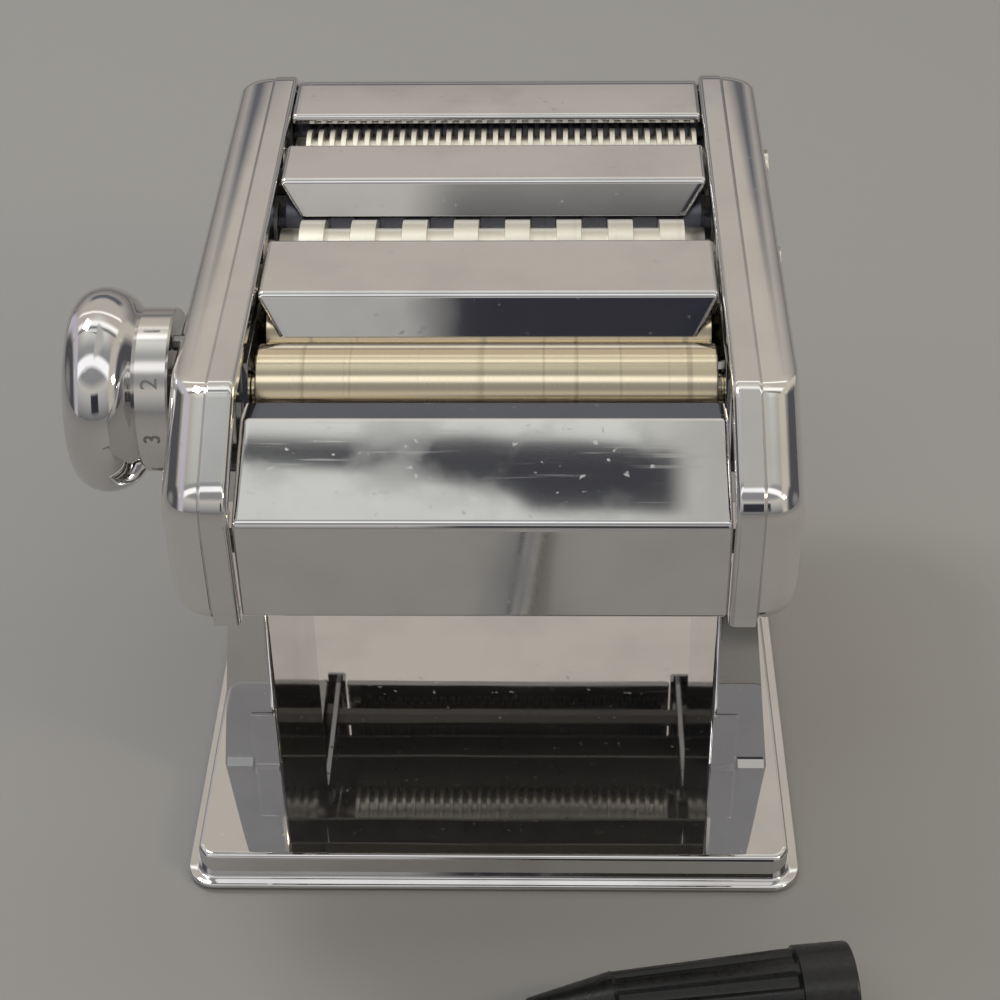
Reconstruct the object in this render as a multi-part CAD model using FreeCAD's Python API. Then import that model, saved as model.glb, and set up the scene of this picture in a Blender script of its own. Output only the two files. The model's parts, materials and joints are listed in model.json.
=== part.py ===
import FreeCAD, Part
import math
import os

# Hand cranked pasta machine with a pair of smooth rollers, a pair of wide cutters and a pair of fine cutters.
# X runs from the thickness knob on the left to the crank sockets on the right, Y runs from front to back,
# and Z is up. The origin is the middle of the base on the table.

V = FreeCAD.Vector

# Driving dimensions of the whole body
ROLLER_LENGTH = 110.0
ROLLER_END_GAP = 3.5
BODY_TOP = 152.5
BODY_HEIGHT = 51.5
BODY_BACK_GAP = 4.0
SLOPE_TOP_GAP = 15.5
SLOPE_LENGTH = 27.3
NOSE_DROP = 14.5
FRONT_LEAN = 3.3
NOSE_RADIUS = 8.0
SLOPE_RADIUS = 12.0
BACK_RADIUS = 12.0
SHEET = 1.0
FIT = 0.1

# Base tray and its rubber feet
TRAY_DEPTH = 162.0
TRAY_MARGIN = 6.8
TRAY_HEIGHT = 9.0
TRAY_RIM_HEIGHT = 1.4
TRAY_STEP = 3.0
TRAY_CORNER = 8.0
TRAY_EDGE = 1.4
FOOT_PROUD = 1.0
FOOT_RADIUS = 7.0
FOOT_INSET = 22.0
FOOT_SIDES = 12

# Side frames, which are the legs as well
FRAME_SHEET = 1.5
LEG_FRONT = -43.0
LEG_BACK = 43.0
LEG_TOP_WIDTH = 6.6
LEG_FOOT_WIDTH = 15.7
LEG_BEND = 1.5
TOE_WIDTH = 14.0
FLANGE_TOP_GAP = 1.5
FRAME_RAISE = 2.0
WEB_OVERLAP = 4.0
NECK_RADIUS = 3.0
LEG_LIP = 2.2
LEG_LIP_HEIGHT = 2.4
LEG_LIP_GAP = 0.8
CLIP_START = 0.5
CLIP_WIDTH = 6.5
CLIP_HEIGHT = 19.0
CLIP_GAP = 0.15
CLIP_FOOT = 2.6

# Side rims and covers
RIM_OVERHANG = 1.9
RIM_REACH = 3.0
RIM_FLANGE = 4.0
RIM_ROUND = 0.9
COVER_DEPTH = 9.5
COVER_DROP = 0.5
COVER_LOWER_CORNER = 6.0
COVER_CREASE = 0.35
CHORD_TURN = 24.0
ROUND_TOP = 3.5
ROUND_SLOPE = 8.0
ROUND_FRONT = 6.5
ROUND_BOTTOM = 9.0
ROUND_BACK = 6.0

# Front panel, top plates and rear panel
PANEL_SIDE_GAP = 0.3
PLATE_SIDE_GAP = 0.8
PLATE_SINK = 1.5
PANEL_TOP_SINK = 9.2
PANEL_TOP_GAP = 13.9
PANEL_FOLD_SINK = 7.1
PANEL_FOLD_INSET = 2.7
PANEL_LOW_RAISE = 1.7
PANEL_LOW_INSET = 1.1
PANEL_INNER_LIP = 5.0
PANEL_LIP_SLOPE = 20.0
PANEL_LOW_LIP = 3.0
PANEL_FOLD_RADIUS = 2.5
PANEL_ROLL_RADIUS = 1.8
LOW_LIP_RADIUS = 1.2
FRONT_PLATE_REACH = 10.1
FRONT_PLATE_STOP = 3.4
MIDDLE_PLATE_REACH = 7.0
MIDDLE_PLATE_STOP = 0.5
PLATE_FACE_RUN = 4.0
FACE_OVER_SMOOTH = 9.5
FACE_OVER_WIDE = 7.4
PLATE_FOLD_RADIUS = 2.2
PLATE_BACK_RADIUS = 1.6
PLATE_BACK_LIP = 7.0
PLATE_CORNER_CUT = 5.0
PLATE_CORNER_HEIGHT = 6.0
REAR_PANEL_REACH = 15.5
REAR_PANEL_INSET = 1.0
REAR_PANEL_RAISE = 2.0
REAR_PANEL_LIP = 3.0
REAR_PANEL_FRONT_LIP = 2.4
LUG_REACH = 0.6
LUG_ROOT = 0.6
PLATE_LUG_ROOT = 1.5
LUG_TOP = 4.2
LUG_LENGTH = 5.0
LUG_INSET = 7.0
LUG_RAISE = 6.0
FACE_LUG_LENGTH = 3.0

# Rollers
SMOOTH_RADIUS = 12.0
SMOOTH_GAP = 0.3
SMOOTH_FRONT_Y = -40.0
SMOOTH_SINK = 19.5
SMOOTH_WIDE_GAP = 7.3
WIDE_RADIUS = 12.0
WIDE_SINK = 17.4
WIDE_PITCH = 13.3
WIDE_SIDES = 8
WIDE_FINE_GAP = 1.4
FINE_RADIUS = 11.0
FINE_SINK = 14.0
FINE_PITCH = 3.2
FINE_SIDES = 6
END_BLANK = 1.0
CUT_DEPTH = 2.0
GROOVE_CLEARANCE = 0.15
DISC_SIDE_CLEARANCE = 0.08
JOURNAL_RADIUS = 4.5
DRIVEN_RADIUS = 6.0
RUNNING_CLEARANCE = 0.05
BUSH_WALL = 1.6
BUSH_LENGTH = 3.2
BUSH_PROUD = 0.5
BUSH_SIDES = 8
BUSH_SEAT = 0.02
SOCKET_RADIUS = 4.05
SOCKET_DEPTH = 14.0
SOCKET_SLOT = 2.2
SOCKET_SLOT_DEPTH = 6.0
SOCKET_PROUD = 2.5
SOCKET_HOLE_CLEARANCE = 0.6
SHAFT_SIDES = 12
CHEEK_SHEET = 1.6
CHEEK_FRONT = 15.0
CHEEK_BACK = 11.0
CHEEK_LOW = 10.0
CHEEK_SINK = 0.8
CHEEK_FRONT_CUT = 11.0
CHEEK_BACK_CUT = 5.0
CHEEK_HOLE_CLEARANCE = 0.7

# Gears
GEAR_TEETH = 12
GEAR_WIDTH = 5.0
GEAR_GAP = 0.8
GEAR_ADDENDUM = 0.9
GEAR_DEDENDUM = 1.25
TOOTH_ROOT_SHARE = 0.33
TOOTH_TIP_SHARE = 0.115
GEAR_SEAT = 0.02

# Thickness adjustment
ADJUST_TRAVEL = 1.8
KNOB_TURN = 280.0
KNOB_STEPS = 7
CARRIAGE_GAP = 0.3
CARRIAGE_SHEET = 1.8
CARRIAGE_WIDTH = 22.0
CARRIAGE_CORNER = 5.0
CARRIAGE_TOP_CUT = 1.0
CARRIAGE_ROD_RADIUS = 3.5
CARRIAGE_ROD_DROP = 19.5
CARRIAGE_LOW_EDGE = 6.0
CARRIAGE_TENON = 4.8
SLOT_CLEARANCE = 0.3
CAM_RADIUS = 14.0
CAM_SHEET = 2.0
CAM_GAP = 0.9
CAM_PIN_RADIUS = 1.6
CAM_PIN_START = 8.6
CAM_PIN_CLEARANCE = 0.12
CAM_PIN_SINK = 0.3
CAM_END_SPARE = 14.0
CAM_CHORDS = 16
CAM_SIDES = 24
KNOB_RAISE = 1.0
KNOB_SHAFT_RADIUS = 5.0
BRACKET_GAP = 1.4
BRACKET_SHEET = 2.0
BRACKET_ARM = 23.0
BRACKET_ARM_ANGLE = 43.0
POST_RADIUS = 3.2
BRACKET_EDGE = 4.5
BRACKET_TOP_EDGE = 2.8
PIN_RADIUS = 1.9
PIN_Y = -3.4
PIN_Z = 15.6
PIN_HOLE_CLEARANCE = 0.4
PIN_HOLE_DEPTH = 3.0
PIN_TIP_GAP = 0.2
SHAFT_HOLE_CLEARANCE = 1.0
PIN_SIDES = 8

# Knob
RING_GAP = 1.9
RING_LENGTH = 8.2
RING_RADIUS = 19.9
RING_SIDES = 36
GRIP_NECK_RADIUS = 19.4
GRIP_RADIUS = 25.0
GRIP_FACE_RADIUS = 20.5
GRIP_LENGTH = 16.6
GRIP_FLARE = ((0.0, 0.0), (0.11, 0.41), (0.33, 0.84), (0.57, 1.0))
GRIP_CAVITY = 9.0
GRIP_SIDES = 24
GRIP_EDGE_STEPS = 3
GRIP_FACE = 2.5
KNOB_PULL = 3.0
SQUARE = 7.0
SQUARE_LEAD = 1.0
SQUARE_CLEARANCE = 0.05
WASHER_RADIUS = 7.6
WASHER_SHEET = 1.5
SPRING_WALL = 1.2
SPRING_INSET = 0.6
SPRING_END_GAP = 0.3
SPRING_SIDES = 12

# Strippers, scrapers and tie rods
STRIPPER_SHEET = 1.0
STRIPPER_HEIGHT = 14.0
STRIPPER_NECK = 0.4
STRIPPER_CLEARANCE = 0.3
STRIPPER_OFFSET = 5.0
SCRAPER_HEIGHT = 11.0
SCRAPER_GAP = 0.3
TIE_RADIUS = 3.0
TIE_NUT = 4.6
TIE_NUT_HEIGHT = 2.4
TIE_RAISE = 7.0
FRONT_TIE_RAISE = 10.0
FRONT_TIE_REACH = 32.0

# Crank, which lies taken out in front of the machine
CRANK_END_X = 88.7
CRANK_END_Y = -123.2
CRANK_TURN = 6.84
CRANK_THROW = 100.0
CRANK_REACH = 50.0
CRANK_BEND = 8.0
CRANK_BEND_STEPS = 4
CRANK_LEAD = 1.0
CRANK_SIDES = 12
CRANK_FIT = 0.05
CRANK_PIN_RADIUS = 1.0
CRANK_PIN_PLACE = 3.0
CRANK_SPINDLE_RADIUS = 3.0
CRANK_SPINDLE_CLEARANCE = 0.1
CRANK_HEAD_RADIUS = 4.6
CRANK_HEAD_LENGTH = 2.0
CRANK_GRIP_LENGTH = 80.0
CRANK_GRIP_RADIUS = 12.0
CRANK_GRIP_WAIST = 9.6
CRANK_GRIP_TIP = 4.9
CRANK_CONE_LENGTH = 21.0
CRANK_COLLAR_LENGTH = 13.5
CRANK_COLLAR_EDGE = 0.8
CRANK_RECESS = 4.0
CRANK_END_GAP = 0.4
FLUTES = 10
FLUTE_DEPTH = 1.1
FLUTE_INSET = 0.3

# Places across the machine
HALF_ROLLER = ROLLER_LENGTH / 2
FRAME_INNER = HALF_ROLLER + ROLLER_END_GAP
FRAME_OUTER = FRAME_INNER + FRAME_SHEET
RIM_INNER = FRAME_INNER - RIM_OVERHANG
RIM_OUTER = FRAME_OUTER + RIM_REACH
HALF_BODY = RIM_OUTER + COVER_DEPTH
PANEL_HALF = RIM_INNER - PANEL_SIDE_GAP
PLATE_HALF = RIM_INNER - PLATE_SIDE_GAP
TRAY_WIDTH = 2 * (FRAME_INNER + LEG_FOOT_WIDTH + TRAY_MARGIN)

# Heights
BODY_BOTTOM = BODY_TOP - BODY_HEIGHT
PLATE_TOP = BODY_TOP - PLATE_SINK
SMOOTH_Z = PLATE_TOP - SMOOTH_SINK
WIDE_Z = PLATE_TOP - WIDE_SINK
FINE_Z = PLATE_TOP - FINE_SINK
KNOB_Z = SMOOTH_Z + KNOB_RAISE
NOSE_Z = BODY_TOP - NOSE_DROP
COVER_BOTTOM = BODY_BOTTOM - COVER_DROP
PANEL_TOP_Z = PLATE_TOP - PANEL_TOP_SINK
PANEL_FOLD_Z = NOSE_Z - PANEL_FOLD_SINK
PANEL_LOW_Z = BODY_BOTTOM + PANEL_LOW_RAISE
REAR_PANEL_LOW = BODY_BOTTOM + REAR_PANEL_RAISE
CARRIAGE_ROD_Z = SMOOTH_Z - CARRIAGE_ROD_DROP

# Places from front to back
WIDE_SPACING = 2 * WIDE_RADIUS - CUT_DEPTH
FINE_SPACING = 2 * FINE_RADIUS - CUT_DEPTH
SMOOTH_SPACING = 2 * SMOOTH_RADIUS + SMOOTH_GAP
SMOOTH_BACK_Y = SMOOTH_FRONT_Y + SMOOTH_SPACING
WIDE_FRONT_Y = SMOOTH_BACK_Y + SMOOTH_RADIUS + WIDE_RADIUS + SMOOTH_WIDE_GAP
WIDE_BACK_Y = WIDE_FRONT_Y + WIDE_SPACING
FINE_FRONT_Y = WIDE_BACK_Y + WIDE_RADIUS + FINE_RADIUS + WIDE_FINE_GAP
FINE_BACK_Y = FINE_FRONT_Y + FINE_SPACING
BODY_BACK = FINE_BACK_Y + FINE_RADIUS + BODY_BACK_GAP
SLOPE_TOP_Y = SMOOTH_FRONT_Y - SMOOTH_RADIUS - SLOPE_TOP_GAP
NOSE_Y = SLOPE_TOP_Y - SLOPE_LENGTH
BODY_FOOT_Y = NOSE_Y + FRONT_LEAN
PANEL_TOP_Y = SMOOTH_FRONT_Y - SMOOTH_RADIUS - PANEL_TOP_GAP
PANEL_FOLD_Y = NOSE_Y + PANEL_FOLD_INSET
PANEL_LOW_Y = BODY_FOOT_Y + PANEL_LOW_INSET
FRONT_PLATE_FRONT = SMOOTH_BACK_Y - FRONT_PLATE_REACH
FRONT_PLATE_BACK = WIDE_FRONT_Y - WIDE_RADIUS - FRONT_PLATE_STOP
MIDDLE_PLATE_FRONT = WIDE_BACK_Y - MIDDLE_PLATE_REACH
MIDDLE_PLATE_BACK = FINE_FRONT_Y - FINE_RADIUS - MIDDLE_PLATE_STOP
REAR_PANEL_FRONT = FINE_BACK_Y - REAR_PANEL_REACH
TIE_PLACES = (
    (SMOOTH_FRONT_Y - FRONT_TIE_REACH, BODY_BOTTOM + FRONT_TIE_RAISE),
    ((SMOOTH_BACK_Y + WIDE_FRONT_Y) / 2, BODY_BOTTOM + TIE_RAISE),
    (FINE_BACK_Y, BODY_BOTTOM + TIE_RAISE),
)

# Seats and ends of the moving pieces
BUSH_START = FRAME_INNER - BUSH_PROUD
BUSH_END = BUSH_START + BUSH_LENGTH
CARRIAGE_INNER = FRAME_OUTER + CARRIAGE_GAP
CARRIAGE_OUTER = CARRIAGE_INNER + CARRIAGE_SHEET
GEAR_START = CARRIAGE_OUTER + GEAR_GAP
CAM_END = CARRIAGE_OUTER + CAM_GAP + CAM_SHEET
BRACKET_START = CAM_END + BRACKET_GAP
RING_START = HALF_BODY + RING_GAP
SOCKET_END = HALF_BODY + SOCKET_PROUD
SLEEVE_RADIUS = DRIVEN_RADIUS * math.cos(math.pi / 6) - RUNNING_CLEARANCE
LUG_END = FRAME_OUTER + LUG_REACH
CRANK_ROD_RADIUS = SOCKET_RADIUS - CRANK_FIT
BRACKET_END = BRACKET_START + BRACKET_SHEET
TRAY_BOTTOM = FOOT_PROUD
PLATEAU = FOOT_PROUD + TRAY_HEIGHT


# Helpers for outlines in the YZ plane
def at(x, y, z):
    return V(x, y, z)


def unit(a, b):
    d = math.hypot(b[0] - a[0], b[1] - a[1])
    return ((b[0] - a[0]) / d, (b[1] - a[1]) / d)


def crossing(p, d, q, e):
    det = d[0] * e[1] - d[1] * e[0]
    t = ((q[0] - p[0]) * e[1] - (q[1] - p[1]) * e[0]) / det
    return (p[0] + t * d[0], p[1] + t * d[1])


def offset_path(points, radii, gaps, closed=False):
    """Moves each run of a path to its left by its own gap and gives the new points and radii."""
    count = len(points)
    runs = count if closed else count - 1
    starts = []
    ways = []
    for i in range(runs):
        a = points[i]
        b = points[(i + 1) % count]
        d = unit(a, b)
        starts.append((a[0] - d[1] * gaps[i], a[1] + d[0] * gaps[i]))
        ways.append(d)
    moved = []
    changed = []
    for i in range(count):
        before = (i - 1) % runs if closed else i - 1
        after = i if closed else min(i, runs - 1)
        if not closed and i == 0:
            moved.append(starts[0])
            changed.append(0.0)
            continue
        if not closed and i == count - 1:
            d = ways[-1]
            a = points[-1]
            moved.append((a[0] - d[1] * gaps[-1], a[1] + d[0] * gaps[-1]))
            changed.append(0.0)
            continue
        moved.append(crossing(starts[before], ways[before], starts[after], ways[after]))
        turn = ways[before][0] * ways[after][1] - ways[before][1] * ways[after][0]
        gap = (gaps[before] + gaps[after]) / 2
        left = turn > 0
        radius = radii[i] - gap if left else radii[i] + gap
        changed.append(radius if radii[i] > 0 and radius > 0.05 else 0.0)
    return moved, changed


def path_edges(points, radii, x, closed=False):
    """Makes the lines and corner arcs of a path in the plane at x."""
    count = len(points)
    entries = []
    exits = []
    middles = []
    for i in range(count):
        p = points[i]
        if radii[i] <= 0 or (not closed and i in (0, count - 1)):
            entries.append(p)
            exits.append(p)
            middles.append(None)
            continue
        a = unit(p, points[i - 1])
        b = unit(p, points[(i + 1) % count])
        half = math.acos(max(-1.0, min(1.0, a[0] * b[0] + a[1] * b[1]))) / 2
        reach = radii[i] / math.tan(half)
        bisector = unit((0, 0), (a[0] + b[0], a[1] + b[1]))
        away = radii[i] / math.sin(half) - radii[i]
        entries.append((p[0] + a[0] * reach, p[1] + a[1] * reach))
        exits.append((p[0] + b[0] * reach, p[1] + b[1] * reach))
        middles.append((p[0] + bisector[0] * away, p[1] + bisector[1] * away))
    edges = []
    for i in range(count):
        if middles[i]:
            arc = Part.Arc(at(x, *entries[i]), at(x, *middles[i]), at(x, *exits[i]))
            edges.append(arc.toShape())
        if i == count - 1 and not closed:
            break
        start = exits[i]
        end = entries[(i + 1) % count]
        if math.hypot(end[0] - start[0], end[1] - start[1]) > 1e-6:
            edges.append(Part.makeLine(at(x, *start), at(x, *end)))
    return edges


def outline_wire(points, radii, x):
    return Part.Wire(path_edges(points, radii, x, closed=True))


def slab(points, radii, x0, x1):
    """Extrudes a closed outline from x0 to x1."""
    face = Part.Face(outline_wire(points, radii, x0))
    return face.extrude(V(x1 - x0, 0, 0))


def folded_sheet(points, radii, thickness, x0, x1):
    """Makes a sheet that follows an open path, with its thickness to the left of the path."""
    runs = len(points) - 1
    inner, inner_radii = offset_path(points, radii, [thickness] * runs)
    outer_edges = path_edges(points, radii, x0)
    inner_edges = path_edges(inner, inner_radii, x0)
    caps = [
        Part.makeLine(at(x0, *points[0]), at(x0, *inner[0])),
        Part.makeLine(at(x0, *points[-1]), at(x0, *inner[-1])),
    ]
    edges = Part.sortEdges(outer_edges + caps + inner_edges)[0]
    return Part.Face(Part.Wire(edges)).extrude(V(x1 - x0, 0, 0))


def block(x0, x1, y0, y1, z0, z1):
    return Part.makeBox(x1 - x0, y1 - y0, z1 - z0, V(x0, y0, z0))


def rod(radius, x0, x1, y, z):
    return Part.makeCylinder(radius, x1 - x0, V(x0, y, z), V(1, 0, 0))


def flat_rod(radius, x0, x1, y, z):
    """Makes a hidden round length with a few flat sides inside its own circle."""
    return prism(polygon_points(SHAFT_SIDES, radius, y, z, math.pi / SHAFT_SIDES), x0, x1)


def polygon_points(sides, radius, y, z, phase=0.0):
    step = 2 * math.pi / sides
    return [
        (y + radius * math.cos(phase + step * i), z + radius * math.sin(phase + step * i))
        for i in range(sides)
    ]


def prism(points, x0, x1):
    return slab(points, [0.0] * len(points), x0, x1)


def hexagon(radius, x0, x1, y, z):
    return prism(polygon_points(6, radius, y, z), x0, x1)


def corner_chords(points, radii):
    """Gives a closed outline with each round corner drawn as equal chords."""
    count = len(points)
    outline = []
    for i in range(count):
        p = points[i]
        if radii[i] <= 0:
            outline.append(p)
            continue
        a = unit(points[i - 1], p)
        b = unit(p, points[(i + 1) % count])
        turn = math.atan2(a[0] * b[1] - a[1] * b[0], a[0] * b[0] + a[1] * b[1])
        reach = radii[i] * math.tan(abs(turn) / 2)
        side = 1 if turn > 0 else -1
        centre = (p[0] - a[0] * reach - side * a[1] * radii[i], p[1] - a[1] * reach + side * a[0] * radii[i])
        start = math.atan2(p[1] - a[1] * reach - centre[1], p[0] - a[0] * reach - centre[0])
        chords = math.ceil(abs(turn) / math.radians(CHORD_TURN) - 0.01)
        for j in range(chords + 1):
            angle = start + turn * j / chords
            outline.append((centre[0] + radii[i] * math.cos(angle), centre[1] + radii[i] * math.sin(angle)))
    return outline


def flat_loft(sections):
    """Joins outlines of parallel sides, given as (x, points), by flat faces."""
    faces = []
    for (x0, low), (x1, high) in zip(sections, sections[1:]):
        for i in range(len(low)):
            j = (i + 1) % len(low)
            corners = [at(x0, *low[i]), at(x0, *low[j]), at(x1, *high[j]), at(x1, *high[i])]
            faces.append(Part.Face(Part.makePolygon(corners + corners[:1])))
    for x, points in (sections[0], sections[-1]):
        faces.append(Part.Face(outline_wire(points, [0.0] * len(points), x)))
    solid = Part.makeSolid(Part.makeShell(faces))
    if solid.Volume < 0:
        solid.reverse()
    return solid


def mirrored(shape):
    return shape.mirror(V(0, 0, 0), V(1, 0, 0))


def fused(shapes):
    shape = shapes[0].fuse(shapes[1:]) if len(shapes) > 1 else shapes[0]
    return shape.removeSplitter()


def group(shapes):
    return Part.makeCompound(shapes)


def save(name, shape):
    solids = shape.Solids
    valid = all(s.isValid() for s in solids)
    print(name, len(solids), "solids", "valid" if valid else "NOT VALID", round(shape.Volume, 1))
    if len(solids) == 1:
        shape = solids[0]
    shape.exportStep(os.path.join("parts", name + ".step"))


# Body outline shared by the rims, the covers and the frames
BODY_PATH = [
    (BODY_BACK, BODY_BOTTOM),
    (BODY_BACK, BODY_TOP),
    (SLOPE_TOP_Y, BODY_TOP),
    (NOSE_Y, NOSE_Z),
    (BODY_FOOT_Y, BODY_BOTTOM),
]
BODY_RADII = [0.0, BACK_RADIUS, SLOPE_RADIUS, NOSE_RADIUS, 0.0]


def body_inset(gap):
    """Gives the body's open path moved inwards by a gap."""
    return offset_path(BODY_PATH, BODY_RADII, [gap] * 4)


def base_tray():
    """Builds the pressed tray: a rim, a wall, a plateau with an eased edge, hollow from below."""

    def plan(inset):
        x = TRAY_WIDTH / 2 - inset
        y = TRAY_DEPTH / 2 - inset
        corners = [(-y, -x), (y, -x), (y, x), (-y, x)]
        return corner_chords(corners, [TRAY_CORNER - inset] * 4)

    rim_top = TRAY_BOTTOM + TRAY_RIM_HEIGHT
    outside = flat_loft([
        (TRAY_BOTTOM, plan(0.0)),
        (rim_top, plan(0.0)),
        (rim_top, plan(TRAY_STEP)),
        (PLATEAU - TRAY_EDGE, plan(TRAY_STEP)),
        (PLATEAU, plan(TRAY_STEP + TRAY_EDGE)),
    ])
    inside = prism(plan(TRAY_STEP + SHEET), TRAY_BOTTOM - 1, PLATEAU - SHEET)
    tray = outside.cut(inside).removeSplitter()
    tray.rotate(V(0, 0, 0), V(0, 1, 0), -90)
    return tray


def leg_clips():
    """Builds the four angle clips on the plateau that hold the legs' flanges at front and back."""
    start = FRAME_INNER + CLIP_START
    end = start + CLIP_WIDTH
    clips = []
    for side in (-1, 1):
        near = side * (LEG_BACK + CLIP_GAP)
        far = near + side * CLIP_FOOT
        path = [(near, PLATEAU + CLIP_HEIGHT), (near, PLATEAU), (far, PLATEAU)]
        if side < 0:
            path.reverse()
        clip = folded_sheet(path, [0.0, 0.0, 0.0], SHEET, start, end)
        clips += [clip, mirrored(clip)]
    return group(clips)


def foot_places():
    x = TRAY_WIDTH / 2 - FOOT_INSET
    y = TRAY_DEPTH / 2 - FOOT_INSET
    return [(-x, -y), (x, -y), (-x, y), (x, y)]


def rubber_feet():
    feet = []
    for x, y in foot_places():
        pad = prism(polygon_points(FOOT_SIDES, FOOT_RADIUS, y, -x), 0.0, PLATEAU - SHEET)
        pad.rotate(V(0, 0, 0), V(0, 1, 0), -90)
        feet.append(pad)
    return group(feet)


def top_plate_path(front, back, face_low):
    points = [
        (back, PLATE_TOP - PLATE_BACK_LIP),
        (back, PLATE_TOP),
        (front, PLATE_TOP),
        (front - PLATE_FACE_RUN, face_low),
    ]
    return points, [0.0, PLATE_BACK_RADIUS, PLATE_FOLD_RADIUS, 0.0]


def plate_lug_runs(front, back, low):
    """Gives the two short runs of a top plate's path that go on through the frame as lugs."""
    slope = -PLATE_FACE_RUN / (PLATE_TOP - low)
    face_top = (front + slope * LUG_TOP, PLATE_TOP - LUG_TOP)
    face_low = (front + slope * (LUG_TOP + FACE_LUG_LENGTH), PLATE_TOP - LUG_TOP - FACE_LUG_LENGTH)
    back_low = (back, PLATE_TOP - PLATE_BACK_LIP)
    back_top = (back, PLATE_TOP - LUG_TOP)
    return [(back_low, back_top), (face_top, face_low)]


def front_plate_ends():
    return FRONT_PLATE_FRONT, FRONT_PLATE_BACK, SMOOTH_Z + FACE_OVER_SMOOTH


def middle_plate_ends():
    return MIDDLE_PLATE_FRONT, MIDDLE_PLATE_BACK, WIDE_Z + FACE_OVER_WIDE


def panel_lug_runs():
    low = PANEL_LOW_Z + LUG_RAISE
    y = PANEL_LOW_Y + LUG_INSET
    return [((y, low + LUG_LENGTH), (y, low)), ((y, low + 3 * LUG_LENGTH), (y, low + 2 * LUG_LENGTH))]


def rear_lug_runs():
    y = BODY_BACK - REAR_PANEL_INSET - LUG_INSET
    low = REAR_PANEL_LOW + LUG_RAISE
    return [
        ((y, low), (y, low + LUG_LENGTH)),
        ((y, low + 4 * LUG_LENGTH), (y, low + 5 * LUG_LENGTH)),
    ]


def lug_piece(run, x0, x1):
    return folded_sheet([run[0], run[1]], [0.0, 0.0], SHEET, x0, x1)


def lug_slot(run, x0, x1):
    d = unit(run[0], run[1])
    a = (run[0][0] - d[0] * FIT + d[1] * FIT, run[0][1] - d[1] * FIT - d[0] * FIT)
    b = (run[1][0] + d[0] * FIT + d[1] * FIT, run[1][1] + d[1] * FIT - d[0] * FIT)
    return folded_sheet([a, b], [0.0, 0.0], SHEET + 2 * FIT, x0, x1)


def all_lug_runs():
    runs = plate_lug_runs(*front_plate_ends())
    runs += plate_lug_runs(*middle_plate_ends())
    runs += panel_lug_runs()
    runs += rear_lug_runs()
    return runs


def with_lugs(shape, runs, start):
    for run in runs:
        lug = lug_piece(run, start, LUG_END)
        shape = shape.fuse([lug, mirrored(lug)])
    return shape.removeSplitter()


def top_plate(front, back, face_low):
    """Builds a plate over a nip, with its front face folded down and its lower corners cut off."""
    points, radii = top_plate_path(front, back, face_low)
    plate = folded_sheet(points, radii, SHEET, -PLATE_HALF, PLATE_HALF)
    low = points[-1]
    for side in (-1, 1):
        corner = Part.makePolygon([
            V(side * (PLATE_HALF + 1), low[0] - 2, low[1] - 1),
            V(side * (PLATE_HALF + 1), low[0] - 2, low[1] + PLATE_CORNER_HEIGHT + 0.5),
            V(side * (PLATE_HALF - 0.2), low[0] - 2, low[1] + PLATE_CORNER_HEIGHT),
            V(side * (PLATE_HALF - PLATE_CORNER_CUT), low[0] - 2, low[1] - 1),
            V(side * (PLATE_HALF + 1), low[0] - 2, low[1] - 1),
        ])
        plate = plate.cut(Part.Face(corner).extrude(V(0, 8, 0)))
    return with_lugs(plate, plate_lug_runs(front, back, face_low), PLATE_HALF - PLATE_LUG_ROOT)


def front_panel():
    slope = math.radians(PANEL_LIP_SLOPE)
    points = [
        (PANEL_TOP_Y + PANEL_INNER_LIP * math.cos(slope), PANEL_TOP_Z - PANEL_INNER_LIP * math.sin(slope)),
        (PANEL_TOP_Y, PANEL_TOP_Z),
        (PANEL_FOLD_Y, PANEL_FOLD_Z),
        (PANEL_LOW_Y, PANEL_LOW_Z),
        (PANEL_LOW_Y + PANEL_LOW_LIP, PANEL_LOW_Z),
    ]
    radii = [0.0, PANEL_ROLL_RADIUS, PANEL_FOLD_RADIUS, LOW_LIP_RADIUS, 0.0]
    panel = folded_sheet(points, radii, SHEET, -PANEL_HALF, PANEL_HALF)
    runs = panel_lug_runs()
    low = runs[0][1][1]
    high = runs[1][0][1]
    y = runs[0][0][0]
    cheek = block(PANEL_HALF - SHEET, PANEL_HALF, PANEL_LOW_Y + LUG_ROOT, y + SHEET, low, high)
    panel = panel.fuse([cheek, mirrored(cheek)])
    return with_lugs(panel, runs, PANEL_HALF - LUG_ROOT)


def rear_panel():
    back = BODY_BACK - REAR_PANEL_INSET
    points = [
        (back - REAR_PANEL_LIP, REAR_PANEL_LOW),
        (back, REAR_PANEL_LOW),
        (back, PLATE_TOP),
        (REAR_PANEL_FRONT, PLATE_TOP),
        (REAR_PANEL_FRONT, PLATE_TOP - REAR_PANEL_FRONT_LIP),
    ]
    radii = [0.0, LOW_LIP_RADIUS, BACK_RADIUS - REAR_PANEL_INSET, PLATE_BACK_RADIUS, 0.0]
    panel = folded_sheet(points, radii, SHEET, -PANEL_HALF, PANEL_HALF)
    runs = rear_lug_runs()
    low = runs[0][0][1]
    high = runs[1][1][1]
    y = runs[0][0][0]
    cheek = block(PANEL_HALF - SHEET, PANEL_HALF, y - SHEET, back - LUG_ROOT, low, high)
    panel = panel.fuse([cheek, mirrored(cheek)])
    return with_lugs(panel, runs, PANEL_HALF - LUG_ROOT)


def roller_places():
    """Names each roller's axis, and whether its right end is a crank socket."""
    return {
        "smooth_front": (SMOOTH_FRONT_Y, SMOOTH_Z, False),
        "smooth_rear": (SMOOTH_BACK_Y, SMOOTH_Z, True),
        "wide_front": (WIDE_FRONT_Y, WIDE_Z, True),
        "wide_rear": (WIDE_BACK_Y, WIDE_Z, False),
        "fine_front": (FINE_FRONT_Y, FINE_Z, True),
        "fine_rear": (FINE_BACK_Y, FINE_Z, False),
    }


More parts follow.
